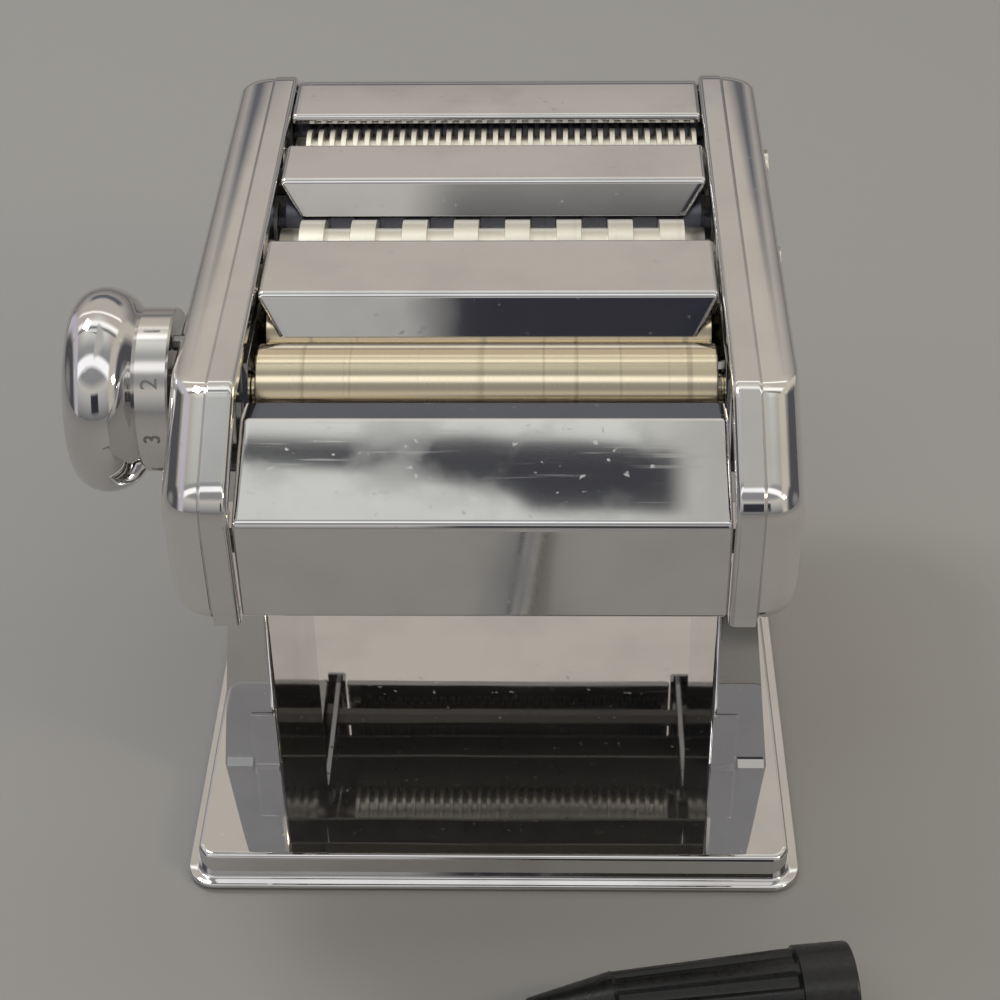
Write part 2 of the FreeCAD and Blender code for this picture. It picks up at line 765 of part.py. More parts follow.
def bush_radius(driven):
    return (DRIVEN_RADIUS if driven else JOURNAL_RADIUS) + BUSH_WALL


def bush_prism(radius, x0, x1, y, z):
    """Gives a bush's outline with a flat at its top and bottom, as a prism."""
    return prism(polygon_points(BUSH_SIDES, radius, y, z, math.pi / BUSH_SIDES), x0, x1)


def travel_slot(radius, x0, x1, y, z):
    """Gives a slot with eight flats for a rod that moves forwards by the thickness adjustment."""
    flats = polygon_points(BUSH_SIDES, radius / math.cos(math.pi / BUSH_SIDES), y, z, math.pi / BUSH_SIDES)
    return prism([(p[0] - ADJUST_TRAVEL if p[0] < y else p[0], p[1]) for p in flats], x0, x1)


def flange_top():
    return COVER_BOTTOM - FLANGE_TOP_GAP


def leg_channel():
    """Builds the frame's lower part: a web with a flange folded outwards at its front and back."""
    outer = FRAME_INNER + LEG_FOOT_WIDTH
    path = [(LEG_FRONT, outer), (LEG_FRONT, FRAME_INNER), (LEG_BACK, FRAME_INNER), (LEG_BACK, outer)]
    channel = folded_sheet(path, [0.0, LEG_BEND, LEG_BEND, 0.0], FRAME_SHEET, -flange_top(), -PLATEAU)
    channel.rotate(V(0, 0, 0), V(0, 1, 0), 90)
    taper = Part.makePolygon([
        V(outer, LEG_FRONT - 1, PLATEAU),
        V(outer + 1, LEG_FRONT - 1, PLATEAU),
        V(outer + 1, LEG_FRONT - 1, flange_top() + 1),
        V(FRAME_INNER + LEG_TOP_WIDTH, LEG_FRONT - 1, flange_top() + 1),
        V(outer, LEG_FRONT - 1, PLATEAU),
    ])
    return channel.cut(Part.Face(taper).extrude(V(0, LEG_BACK - LEG_FRONT + 2, 0)))


def leg_lips():
    """Builds the short lips at the foot of the leg's flanges, beside the clips."""
    start = FRAME_INNER + CLIP_START + CLIP_WIDTH + LEG_LIP_GAP
    end = FRAME_INNER + LEG_FOOT_WIDTH - LEG_LIP_GAP
    lips = []
    for side, edge in ((-1, LEG_FRONT), (1, LEG_BACK)):
        outline = [
            (edge - side * FRAME_SHEET, PLATEAU),
            (edge + side * LEG_LIP, PLATEAU),
            (edge + side * LEG_LIP, PLATEAU + LEG_LIP_HEIGHT / 2),
            (edge, PLATEAU + LEG_LIP_HEIGHT),
            (edge - side * FRAME_SHEET, PLATEAU + LEG_LIP_HEIGHT),
        ]
        lips.append(slab(outline, [0.0] * 5, start, end))
    return lips


def side_frame(side):
    """Builds the right frame for side 1; the left one is its mirror image with its own holes."""
    points, radii = body_inset(SHEET + FIT)
    plate_low = BODY_BOTTOM + FRAME_RAISE
    web_low = flange_top() - WEB_OVERLAP
    points[0] = (points[0][0], plate_low)
    points[-1] = (points[-1][0], plate_low)
    front = LEG_FRONT + LEG_BEND
    back = LEG_BACK - LEG_BEND
    outline = points + [(front, plate_low), (front, web_low), (back, web_low), (back, plate_low)]
    neck = NECK_RADIUS
    outline_radii = [0.0, radii[1], radii[2], radii[3], 0.0, neck, 0.0, 0.0, neck]
    frame = slab(outline, outline_radii, FRAME_INNER, FRAME_OUTER)
    toe = block(
        FRAME_INNER, FRAME_INNER + TOE_WIDTH, LEG_FRONT + FRAME_SHEET, LEG_BACK - FRAME_SHEET,
        PLATEAU, PLATEAU + FRAME_SHEET,
    )
    frame = frame.fuse([leg_channel(), toe] + leg_lips()).removeSplitter()
    cuts = []
    for name, (y, z, driven) in roller_places().items():
        if name == "smooth_front":
            cuts.append(travel_slot(JOURNAL_RADIUS + SLOT_CLEARANCE, FRAME_INNER - 1, FRAME_OUTER + 1, y, z))
            continue
        driven_here = driven and side > 0
        cuts.append(bush_prism(bush_radius(driven_here) + BUSH_SEAT, FRAME_INNER - 1, FRAME_OUTER + 1, y, z))
    rod_slot_radius = CARRIAGE_ROD_RADIUS + SLOT_CLEARANCE
    cuts.append(travel_slot(rod_slot_radius, FRAME_INNER - 1, FRAME_OUTER + 1, SMOOTH_FRONT_Y, CARRIAGE_ROD_Z))
    for run in all_lug_runs():
        cuts.append(lug_slot(run, FRAME_INNER - 1, FRAME_OUTER + 1))
    frame = frame.cut(cuts)
    return frame if side > 0 else mirrored(frame)


def side_rim():
    skin = folded_sheet(BODY_PATH, BODY_RADII, SHEET, RIM_INNER, RIM_OUTER)
    flange = folded_sheet(BODY_PATH, BODY_RADII, RIM_FLANGE, RIM_INNER, RIM_INNER + SHEET)
    rim = skin.fuse(flange).removeSplitter()
    outer = []
    for edge in rim.Edges:
        a = edge.Vertexes[0].Point
        b = edge.Vertexes[-1].Point
        if abs(a.x - RIM_INNER) > 1e-6 or abs(b.x - RIM_INNER) > 1e-6:
            continue
        middle = edge.valueAt((edge.FirstParameter + edge.LastParameter) / 2)
        if any(abs(middle.y - y) < 0.5 and abs(middle.z - z) < 0.5 for y, z in rim_middles()):
            outer.append(edge)
    return rim.makeChamfer(RIM_ROUND, outer)


def rim_middles():
    """Gives the middle of each line and arc on the outer edge of the rim."""
    edges = path_edges(BODY_PATH, BODY_RADII, 0.0)
    middles = [e.valueAt((e.FirstParameter + e.LastParameter) / 2) for e in edges]
    return [(m.y, m.z) for m in middles]


def cover_outline(share, wall):
    """Gives the cover's outline at a share of the way round its rounded edge, inside its wall."""
    points = BODY_PATH[:]
    points[0] = (BODY_BACK, COVER_BOTTOM)
    points[-1] = (BODY_FOOT_Y, COVER_BOTTOM)
    radii = [COVER_LOWER_CORNER, BACK_RADIUS, SLOPE_RADIUS, NOSE_RADIUS, COVER_LOWER_CORNER]
    rounds = [ROUND_BACK, ROUND_TOP, ROUND_SLOPE, ROUND_FRONT, ROUND_BOTTOM]
    gaps = [r * (1 - math.cos(share * math.pi / 2)) + wall + COVER_CREASE for r in rounds]
    moved, changed = offset_path(points, radii, gaps, closed=True)
    changed = [max(r, 2.0 + 2.0 * share) for r in changed]
    return moved, changed


def pillow(wall, steps):
    """Lofts the pillow shape of a side cover, smaller all round by the wall."""
    depth = HALF_BODY - RIM_OUTER - wall
    sections = []
    for i in range(steps + 1):
        share = i / steps
        points, radii = cover_outline(share, wall)
        x = RIM_OUTER + depth * math.sin(share * math.pi / 2)
        sections.append((x, corner_chords(points, radii)))
    return flat_loft(sections)


def side_cover(side):
    shell = pillow(0.0, 3)
    inner = pillow(SHEET, 2)
    shell = shell.cut(inner)
    holes = []
    if side > 0:
        for y, z, driven in roller_places().values():
            if driven:
                holes.append(flat_rod(SLEEVE_RADIUS + SOCKET_HOLE_CLEARANCE, RIM_OUTER, HALF_BODY + 1, y, z))
    else:
        y = SMOOTH_FRONT_Y
        pin_outline = polygon_points(PIN_SIDES, PIN_RADIUS + PIN_HOLE_CLEARANCE, y + PIN_Y, KNOB_Z + PIN_Z)
        shaft_radius = KNOB_SHAFT_RADIUS + SHAFT_HOLE_CLEARANCE
        holes.append(flat_rod(shaft_radius, RIM_OUTER, HALF_BODY + 1, y, KNOB_Z))
        holes.append(prism(pin_outline, RIM_OUTER, HALF_BODY + 1))
    shell = shell.cut(holes)
    return shell if side > 0 else mirrored(shell)


def disc_places(pitch, shift):
    """Gives the middles of a cutter's discs: whole steps from the middle, or half a step aside."""
    reach = int(HALF_ROLLER / pitch) + 1
    places = [(k + shift) * pitch for k in range(-reach, reach + 1)]
    return [x for x in places if abs(x) <= HALF_ROLLER - END_BLANK]


def stepped_roller(radius, pitch, sides, shift, spacing, y, z):
    """Builds a cutter body: discs of one width at a pitch on a thinner core, as a prism of few sides."""
    groove = spacing - radius - GROOVE_CLEARANCE
    width = pitch / 2 - 2 * DISC_SIDE_CLEARANCE
    phase = math.pi / sides
    core = prism(polygon_points(sides, groove, y, z, phase), -HALF_ROLLER, HALF_ROLLER)
    discs = []
    for x in disc_places(pitch, shift):
        start = max(x - width / 2, -HALF_ROLLER)
        end = min(x + width / 2, HALF_ROLLER)
        discs.append(prism(polygon_points(sides, radius, y, z, phase), start, end))
    return core.fuse(discs).removeSplitter()


def gear_end(radius, y, z):
    """Builds a journal's right part: a length in its bush, then a hexagon that fits its own circle."""
    journal = flat_rod(radius, HALF_ROLLER, GEAR_START, y, z)
    return [journal, hexagon(radius, GEAR_START, GEAR_START + GEAR_WIDTH, y, z)]


def axle(y, z, driven):
    """Builds a roller's journals, with a crank socket in the right end of a driven one."""
    left = rod(JOURNAL_RADIUS, -BUSH_END, -HALF_ROLLER, y, z)
    if not driven:
        return [left] + gear_end(JOURNAL_RADIUS, y, z)
    sleeve = flat_rod(SLEEVE_RADIUS, GEAR_START + GEAR_WIDTH, SOCKET_END, y, z)
    right = fused(gear_end(DRIVEN_RADIUS, y, z) + [sleeve])
    right = right.cut(rod(SOCKET_RADIUS, SOCKET_END - SOCKET_DEPTH, SOCKET_END + 1, y, z))
    slot = block(
        SOCKET_END - SOCKET_SLOT_DEPTH, SOCKET_END + 1, y - SOCKET_SLOT / 2, y + SOCKET_SLOT / 2,
        z - DRIVEN_RADIUS - 1, z + DRIVEN_RADIUS + 1,
    )
    return [left, right.cut(slot)]


def smooth_roller(name):
    y, z, driven = roller_places()[name]
    barrel = rod(SMOOTH_RADIUS, -HALF_ROLLER, HALF_ROLLER, y, z)
    if name == "smooth_front":
        ends = [rod(JOURNAL_RADIUS, -CARRIAGE_OUTER, -HALF_ROLLER, y, z)] + gear_end(JOURNAL_RADIUS, y, z)
    else:
        ends = axle(y, z, driven)
    return fused([barrel] + ends)


def wide_roller(name):
    y, z, driven = roller_places()[name]
    shift = 0.5 if name == "wide_front" else 0.0
    body = stepped_roller(WIDE_RADIUS, WIDE_PITCH, WIDE_SIDES, shift, WIDE_SPACING, y, z)
    return fused([body] + axle(y, z, driven))


def fine_roller(name):
    y, z, driven = roller_places()[name]
    shift = 0.0 if name == "fine_front" else 0.5
    body = stepped_roller(FINE_RADIUS, FINE_PITCH, FINE_SIDES, shift, FINE_SPACING, y, z)
    return fused([body] + axle(y, z, driven))


def gear(spacing, y, z, seat, tooth_first):
    """Builds a spur gear whose pitch circle is half the spacing; a tooth or a gap points along Y."""
    pitch_radius = spacing / 2
    module = spacing / GEAR_TEETH
    tip = pitch_radius + GEAR_ADDENDUM * module
    root = pitch_radius - GEAR_DEDENDUM * module
    step = 2 * math.pi / GEAR_TEETH
    points = []
    for i in range(GEAR_TEETH):
        centre = step * (i if tooth_first else i + 0.5)
        for radius, angle in (
            (root, -TOOTH_ROOT_SHARE * step),
            (tip, -TOOTH_TIP_SHARE * step),
            (tip, TOOTH_TIP_SHARE * step),
            (root, TOOTH_ROOT_SHARE * step),
        ):
            points.append((y + radius * math.cos(centre + angle), z + radius * math.sin(centre + angle)))
    wheel = prism(points, GEAR_START, GEAR_START + GEAR_WIDTH)
    return wheel.cut(hexagon(seat + GEAR_SEAT, GEAR_START - 1, GEAR_START + GEAR_WIDTH + 1, y, z))


def bushes(side):
    rings = []
    for name, (y, z, driven) in roller_places().items():
        if name == "smooth_front":
            continue
        driven_here = driven and side > 0
        bore = (DRIVEN_RADIUS if driven_here else JOURNAL_RADIUS) + RUNNING_CLEARANCE
        ring = bush_prism(bush_radius(driven_here), BUSH_START, BUSH_END, y, z)
        ring = ring.cut(bush_prism(bore / math.cos(math.pi / BUSH_SIDES), BUSH_START - 1, BUSH_END + 1, y, z))
        rings.append(ring if side > 0 else mirrored(ring))
    return rings


def carriage_plate(side):
    y0 = SMOOTH_FRONT_Y - CARRIAGE_WIDTH / 2
    y1 = SMOOTH_FRONT_Y + CARRIAGE_WIDTH / 2
    top = SMOOTH_Z + CARRIAGE_WIDTH / 2 - CARRIAGE_TOP_CUT
    low = CARRIAGE_ROD_Z - CARRIAGE_LOW_EDGE
    corner = CARRIAGE_CORNER
    outline = [
        (y0, low), (y1, low), (y1, top - corner), (y1 - corner, top), (y0 + corner, top), (y0, top - corner),
    ]
    plate = slab(outline, [0.0] * 6, CARRIAGE_INNER, CARRIAGE_OUTER)
    y = SMOOTH_FRONT_Y
    z = CARRIAGE_ROD_Z
    bore_radius = (JOURNAL_RADIUS + RUNNING_CLEARANCE) / math.cos(math.pi / SHAFT_SIDES)
    bore = flat_rod(bore_radius, CARRIAGE_INNER - 1, CARRIAGE_OUTER + 1, y, SMOOTH_Z)
    half = CARRIAGE_TENON / 2 + BUSH_SEAT
    hole = block(CARRIAGE_INNER - 1, CARRIAGE_OUTER + 1, y - half, y + half, z - half, z + half)
    plate = plate.cut([bore, hole])
    return plate if side > 0 else mirrored(plate)


def carriage_rod():
    """Builds the carriage's cross rod with a square tenon at each end."""
    y = SMOOTH_FRONT_Y
    z = CARRIAGE_ROD_Z
    half = CARRIAGE_TENON / 2
    tenon = block(-CARRIAGE_OUTER, CARRIAGE_OUTER, y - half, y + half, z - half, z + half)
    return fused([rod(CARRIAGE_ROD_RADIUS, -CARRIAGE_INNER, CARRIAGE_INNER, y, z), tenon])


def front_scraper():
    """Builds the blade on the carriage's rod that keeps the front roller clean."""
    length = HALF_ROLLER - END_BLANK
    top = SMOOTH_Z - SMOOTH_RADIUS - SCRAPER_GAP
    y = SMOOTH_FRONT_Y - 0.5
    blade = block(-length, length, y, y + STRIPPER_SHEET, CARRIAGE_ROD_Z + CARRIAGE_ROD_RADIUS, top)
    return blade


def cam_pin():
    start = -CARRIAGE_OUTER
    end = -CAM_END + CAM_PIN_SINK
    outline = polygon_points(PIN_SIDES, CAM_PIN_RADIUS, SMOOTH_FRONT_Y - CAM_PIN_START, KNOB_Z)
    return prism(outline, end, start)


def cam_radius(degrees):
    return CAM_PIN_START + ADJUST_TRAVEL * degrees / KNOB_TURN


def cam_disc():
    """Builds the disc with the scroll slot that moves the carriage's pin outwards as it turns."""
    start = -CARRIAGE_OUTER - CAM_GAP
    disc = prism(polygon_points(CAM_SIDES, CAM_RADIUS, SMOOTH_FRONT_Y, KNOB_Z), -CAM_END, start)
    half = CAM_PIN_RADIUS + CAM_PIN_CLEARANCE
    first = -CAM_END_SPARE
    last = KNOB_TURN + CAM_END_SPARE
    x = start + 1.0
    step = (last - first) / CAM_CHORDS
    tangent = 1 / math.cos(math.radians(step / 2))

    def scroll_point(turn, gap, stretch):
        angle = math.pi + math.radians(turn)
        radius = (cam_radius(turn) + gap) * stretch
        return V(x, SMOOTH_FRONT_Y + radius * math.cos(angle), KNOB_Z + radius * math.sin(angle))

    turns = [first + step * i for i in range(CAM_CHORDS + 1)]
    outer = [scroll_point(turn, half, tangent) for turn in turns]
    inner = [scroll_point(turn, -half, 1.0) for turn in reversed(turns)]
    slot = Part.Face(Part.makePolygon(outer + inner + outer[:1])).extrude(V(-CAM_SHEET - 2.0, 0, 0))
    return disc.cut(slot)


def knob_shaft():
    """Builds the knob's shaft from the cam disc to the square end inside the knob."""
    y = SMOOTH_FRONT_Y
    square_start = -RING_START + SQUARE_LEAD
    round_part = rod(KNOB_SHAFT_RADIUS, square_start, -CAM_END, y, KNOB_Z)
    half = SQUARE / 2
    square = block(-washer_start(), square_start, y - half, y + half, KNOB_Z - half, KNOB_Z + half)
    return fused([round_part, square])


def washer_start():
    return RING_START + RING_LENGTH + GRIP_LENGTH - GRIP_FACE - KNOB_PULL - WASHER_SHEET


def knob_washer():
    start = washer_start()
    outline = polygon_points(SPRING_SIDES, WASHER_RADIUS, SMOOTH_FRONT_Y, KNOB_Z)
    return prism(outline, -start - WASHER_SHEET, -start)


def knob_spring():
    """Builds the spring's outer form at its pressed length, seated on the washer."""
    start = -washer_start()
    length = washer_start() - (RING_START + RING_LENGTH) - KNOB_PULL - SPRING_END_GAP
    radius = WASHER_RADIUS - SPRING_INSET
    outer = polygon_points(SPRING_SIDES, radius, SMOOTH_FRONT_Y, KNOB_Z)
    inner = polygon_points(SPRING_SIDES, radius - SPRING_WALL, SMOOTH_FRONT_Y, KNOB_Z)
    return prism(outer, start, start + length).cut(prism(inner, start - 1, start + length + 1))


def number_ring():
    y = SMOOTH_FRONT_Y
    start = -RING_START
    end = -RING_START - RING_LENGTH
    ring = prism(polygon_points(RING_SIDES, RING_RADIUS, y, KNOB_Z), end, start)
    half = SQUARE / 2 + SQUARE_CLEARANCE
    cuts = [block(end - 1, start + 1, y - half, y + half, KNOB_Z - half, KNOB_Z + half)]
    reach = math.hypot(PIN_Y, PIN_Z)
    first = math.atan2(PIN_Z, PIN_Y)
    for i in range(KNOB_STEPS + 1):
        angle = first + math.radians(KNOB_TURN / KNOB_STEPS * i)
        cuts.append(
            hexagon(
                PIN_RADIUS + PIN_HOLE_CLEARANCE, start - PIN_HOLE_DEPTH, start + 1,
                y + reach * math.cos(angle), KNOB_Z + reach * math.sin(angle),
            )
        )
    return ring.cut(cuts)


def knob_grip():
    """Lofts the flared grip through rings of many sides round the knob's axis."""
    start = RING_START + RING_LENGTH
    end = start + GRIP_LENGTH
    swell = GRIP_RADIUS - GRIP_NECK_RADIUS
    profile = [(start + along * GRIP_LENGTH, GRIP_NECK_RADIUS + out * swell) for along, out in GRIP_FLARE]
    widest = profile[-1][0]
    for i in range(1, GRIP_EDGE_STEPS + 1):
        angle = math.pi / 2 * i / GRIP_EDGE_STEPS
        x = widest + (end - widest) * math.sin(angle)
        profile.append((x, GRIP_FACE_RADIUS + (GRIP_RADIUS - GRIP_FACE_RADIUS) * math.cos(angle)))
    y = SMOOTH_FRONT_Y
    z = KNOB_Z
    grip = flat_loft([(-x, polygon_points(GRIP_SIDES, radius, y, z)) for x, radius in profile])
    cavity = prism(polygon_points(GRIP_SIDES, GRIP_CAVITY, y, z), -end + GRIP_FACE, -start + 1)
    return grip.cut(cavity)


def post_places():
    y = SMOOTH_FRONT_Y
    run = BRACKET_ARM * math.cos(math.radians(BRACKET_ARM_ANGLE))
    rise = BRACKET_ARM * math.sin(math.radians(BRACKET_ARM_ANGLE))
    return [(y - BRACKET_ARM, SMOOTH_Z), (y + run, SMOOTH_Z + rise), (y + run, SMOOTH_Z - rise)]


def adjuster_bracket():
    """Builds the plate on three posts in which the knob's shaft turns, with its locating pin."""
    places = post_places()
    y = SMOOTH_FRONT_Y
    outline = [
        (places[0][0] - 2 * BRACKET_EDGE, places[0][1]),
        (places[2][0] + BRACKET_EDGE, places[2][1] - 2 * BRACKET_EDGE),
        (places[1][0] + BRACKET_EDGE, places[1][1] + BRACKET_TOP_EDGE),
        (y + PIN_Y - BRACKET_EDGE, places[1][1] + BRACKET_TOP_EDGE),
    ]
    plate = slab(outline, [0.0] * 4, -BRACKET_END, -BRACKET_START)
    bore = rod(KNOB_SHAFT_RADIUS + RUNNING_CLEARANCE, -BRACKET_END - 1, -BRACKET_START + 1, y, KNOB_Z)
    plate = plate.cut(bore)
    return plate


def bracket_posts():
    return group([hexagon(POST_RADIUS, -BRACKET_START, -FRAME_OUTER, py, pz) for py, pz in post_places()])


def locating_pin():
    y = SMOOTH_FRONT_Y + PIN_Y
    outline = polygon_points(PIN_SIDES, PIN_RADIUS, y, KNOB_Z + PIN_Z)
    return prism(outline, -RING_START + PIN_TIP_GAP, -BRACKET_END)


def stripper(radius, spacing, pitch, y, z, shift, toward):
    """Builds a comb whose fingers reach into a cutter roller's grooves from below."""
    groove = spacing - radius - GROOVE_CLEARANCE
    place = y + toward * STRIPPER_OFFSET
    near = STRIPPER_OFFSET - STRIPPER_SHEET / 2
    disc_low = z - math.sqrt(radius ** 2 - near ** 2)
    groove_low = z - math.sqrt(groove ** 2 - near ** 2)
    finger_top = groove_low - STRIPPER_CLEARANCE
    body_top = disc_low - STRIPPER_CLEARANCE - STRIPPER_NECK
    y0 = place - STRIPPER_SHEET / 2
    y1 = place + STRIPPER_SHEET / 2
    width = pitch / 2 + 2 * DISC_SIDE_CLEARANCE - 2 * STRIPPER_CLEARANCE
    comb = block(-FRAME_INNER + FIT, FRAME_INNER - FIT, y0, y1, body_top - STRIPPER_HEIGHT, body_top)
    fingers = [
        block(x - width / 2, x + width / 2, y0, y1, body_top, finger_top)
        for x in disc_places(pitch, shift)
        if abs(x) + width / 2 < HALF_ROLLER
    ]
    return comb.fuse(fingers).removeSplitter()


def rear_scraper():
    top = SMOOTH_Z - SMOOTH_RADIUS - SCRAPER_GAP
    y = SMOOTH_BACK_Y + 0.5
    half = FRAME_INNER - FIT
    return block(-half, half, y, y + STRIPPER_SHEET, top - SCRAPER_HEIGHT, top)


def roller_cheeks(side):
    """Builds the plate that closes the gap between the smooth rollers' ends and the frame."""
    y0 = SMOOTH_FRONT_Y - CHEEK_FRONT
    y1 = SMOOTH_BACK_Y + CHEEK_BACK
    z0 = SMOOTH_Z - CHEEK_LOW
    z1 = SMOOTH_Z + SMOOTH_RADIUS - CHEEK_SINK
    outline = [
        (y0, z0), (y1, z0), (y1, z1 - CHEEK_BACK_CUT), (y1 - CHEEK_BACK_CUT, z1), (y0 + CHEEK_FRONT_CUT, z1),
    ]
    x0 = FRAME_INNER - CHEEK_SHEET
    plate = slab(outline, [0.0] * 5, x0, FRAME_INNER)
    front_radius = JOURNAL_RADIUS + CHEEK_HOLE_CLEARANCE
    back_radius = bush_radius(True) + CHEEK_HOLE_CLEARANCE
    holes = [
        travel_slot(front_radius, x0 - 1, FRAME_INNER + 1, SMOOTH_FRONT_Y, SMOOTH_Z),
        bush_prism(back_radius, x0 - 1, FRAME_INNER + 1, SMOOTH_BACK_Y, SMOOTH_Z),
    ]
    plate = plate.cut(holes)
    return plate if side > 0 else mirrored(plate)


def tie_rods():
    return group([hexagon(TIE_RADIUS, -FRAME_INNER, FRAME_INNER, y, z) for y, z in TIE_PLACES])


def tie_nuts():
    nuts = []
    for y, z in TIE_PLACES:
        for side in (-1, 1):
            x0 = side * FRAME_OUTER
            x1 = side * (FRAME_OUTER + TIE_NUT_HEIGHT)
            nuts.append(hexagon(TIE_NUT, min(x0, x1), max(x0, x1), y, z))
    return group(nuts)


def crank_place(shape):
    """Lays a crank piece, drawn flat along its grip's axis, on the table in front of the machine."""
    dip = math.degrees(math.asin((CRANK_GRIP_RADIUS - CRANK_ROD_RADIUS) / CRANK_THROW))
    shape.rotate(V(0, 0, 0), V(1, 0, 0), dip)
    shape.rotate(V(0, 0, 0), V(0, 0, 1), CRANK_TURN)
    turn = math.radians(CRANK_TURN)
    x = CRANK_END_X - CRANK_GRIP_LENGTH * math.cos(turn)
    y = CRANK_END_Y - CRANK_GRIP_LENGTH * math.sin(turn)
    shape.translate(V(x, y, CRANK_GRIP_RADIUS))
    return shape


def crank_tip():
    return V(-CRANK_LEAD - CRANK_BEND - CRANK_REACH, -CRANK_THROW, 0)


def crank_pin_shape():
    """Builds the cross pin that turns a roller through the slot of its socket."""
    tip = crank_tip()
    ends = (tip + V(CRANK_PIN_PLACE, -SLEEVE_RADIUS, 0), tip + V(CRANK_PIN_PLACE, SLEEVE_RADIUS, 0))
    return bent_bar(ends, CRANK_PIN_RADIUS, PIN_SIDES)


def bent_bar(path, radius, sides):
    """Builds a bar of flat sides along a path in the level plane, mitred at every corner."""
    directions = [(path[i + 1] - path[i]).normalize() for i in range(len(path) - 1)]
    rings = []
    for i, point in enumerate(path):
        before = directions[max(i - 1, 0)]
        after = directions[min(i, len(directions) - 1)]
        along = (before + after).normalize()
        across = V(-along.y, along.x, 0)
        stretch = 1 / across.dot(V(-after.y, after.x, 0))
        ring = []
        for step in range(sides):
            angle = 2 * math.pi * (step + 0.5) / sides
            out = across * (radius * stretch * math.cos(angle))
            ring.append(point + out + V(0, 0, radius * math.sin(angle)))
        rings.append(ring)
    faces = []
    for ring in (rings[0], rings[-1]):
        faces.append(Part.Face(Part.makePolygon(ring + [ring[0]])))
    for near, far in zip(rings[:-1], rings[1:]):
        for step in range(sides):
            following = (step + 1) % sides
            corners = [near[step], near[following], far[following], far[step]]
            faces.append(Part.Face(Part.makePolygon(corners + [corners[0]])))
    bar = Part.Solid(Part.makeShell(faces))
    if bar.Volume < 0:
        bar.reverse()
    return bar


def bend_points(centre, start, end):
    """Gives the corners of a bend drawn with chords about a point of the level plane."""
    points = []
    for step in range(CRANK_BEND_STEPS + 1):
        angle = math.radians(start + (end - start) * step / CRANK_BEND_STEPS)
        points.append(centre + V(math.cos(angle), math.sin(angle), 0) * CRANK_BEND)
    return points


def crank_rod():
    """Bends the crank's rod: the socket end, the arm and the spindle that carries the grip."""
    path = [crank_tip()]
    path += bend_points(V(-CRANK_LEAD - 2 * CRANK_BEND, CRANK_BEND - CRANK_THROW, 0), -90, 0)
    path += bend_points(V(-CRANK_LEAD, -CRANK_BEND, 0), 180, 90)
    bar = bent_bar(path, CRANK_ROD_RADIUS, CRANK_SIDES)
    head_start = CRANK_GRIP_LENGTH - CRANK_RECESS + CRANK_END_GAP
    spindle = flat_rod(CRANK_SPINDLE_RADIUS, -2 * CRANK_LEAD, head_start, 0, 0)
    head = flat_rod(CRANK_HEAD_RADIUS, head_start, head_start + CRANK_HEAD_LENGTH, 0, 0)
    return fused([bar, spindle, head]).cut(crank_pin_shape())


def flute_points(radius):
    """Gives a round outline with a shallow groove in every second side."""
    step = math.pi / FLUTES
    points = []
    for i in range(2 * FLUTES):
        r = radius if i % 2 else radius - FLUTE_DEPTH
        points.append((r * math.cos(step * i), r * math.sin(step * i)))
    return points


def crank_grip():
    """Lofts the grip: a smooth cone at the arm, a fluted body that widens, and a round collar."""
    sides = 2 * FLUTES
    cone_end = CRANK_CONE_LENGTH
    collar_start = CRANK_GRIP_LENGTH - CRANK_COLLAR_LENGTH
    edge_start = CRANK_GRIP_LENGTH - CRANK_COLLAR_EDGE

    def round_points(radius):
        return polygon_points(sides, radius, 0, 0)

    cone = flat_loft([
        (CRANK_END_GAP, round_points(CRANK_GRIP_TIP)),
        (cone_end, round_points(CRANK_GRIP_WAIST)),
    ])
    shrink = CRANK_GRIP_WAIST / CRANK_GRIP_RADIUS
    wide = flute_points(CRANK_GRIP_RADIUS - FLUTE_INSET)
    body = flat_loft([
        (cone_end, [(y * shrink, z * shrink) for y, z in wide]),
        (collar_start, wide),
    ])
    collar = flat_loft([
        (collar_start, round_points(CRANK_GRIP_RADIUS)),
        (edge_start, round_points(CRANK_GRIP_RADIUS)),
        (CRANK_GRIP_LENGTH, round_points(CRANK_GRIP_RADIUS - CRANK_COLLAR_EDGE)),
    ])
    grip = fused([cone, body, collar])
    bore = rod(CRANK_SPINDLE_RADIUS + CRANK_SPINDLE_CLEARANCE, -1, CRANK_GRIP_LENGTH, 0, 0)
    recess_start = CRANK_GRIP_LENGTH - CRANK_RECESS
    recess = flat_rod(CRANK_HEAD_RADIUS + 2 * CRANK_END_GAP, recess_start, CRANK_GRIP_LENGTH + 1, 0, 0)
    return grip.cut([bore, recess])


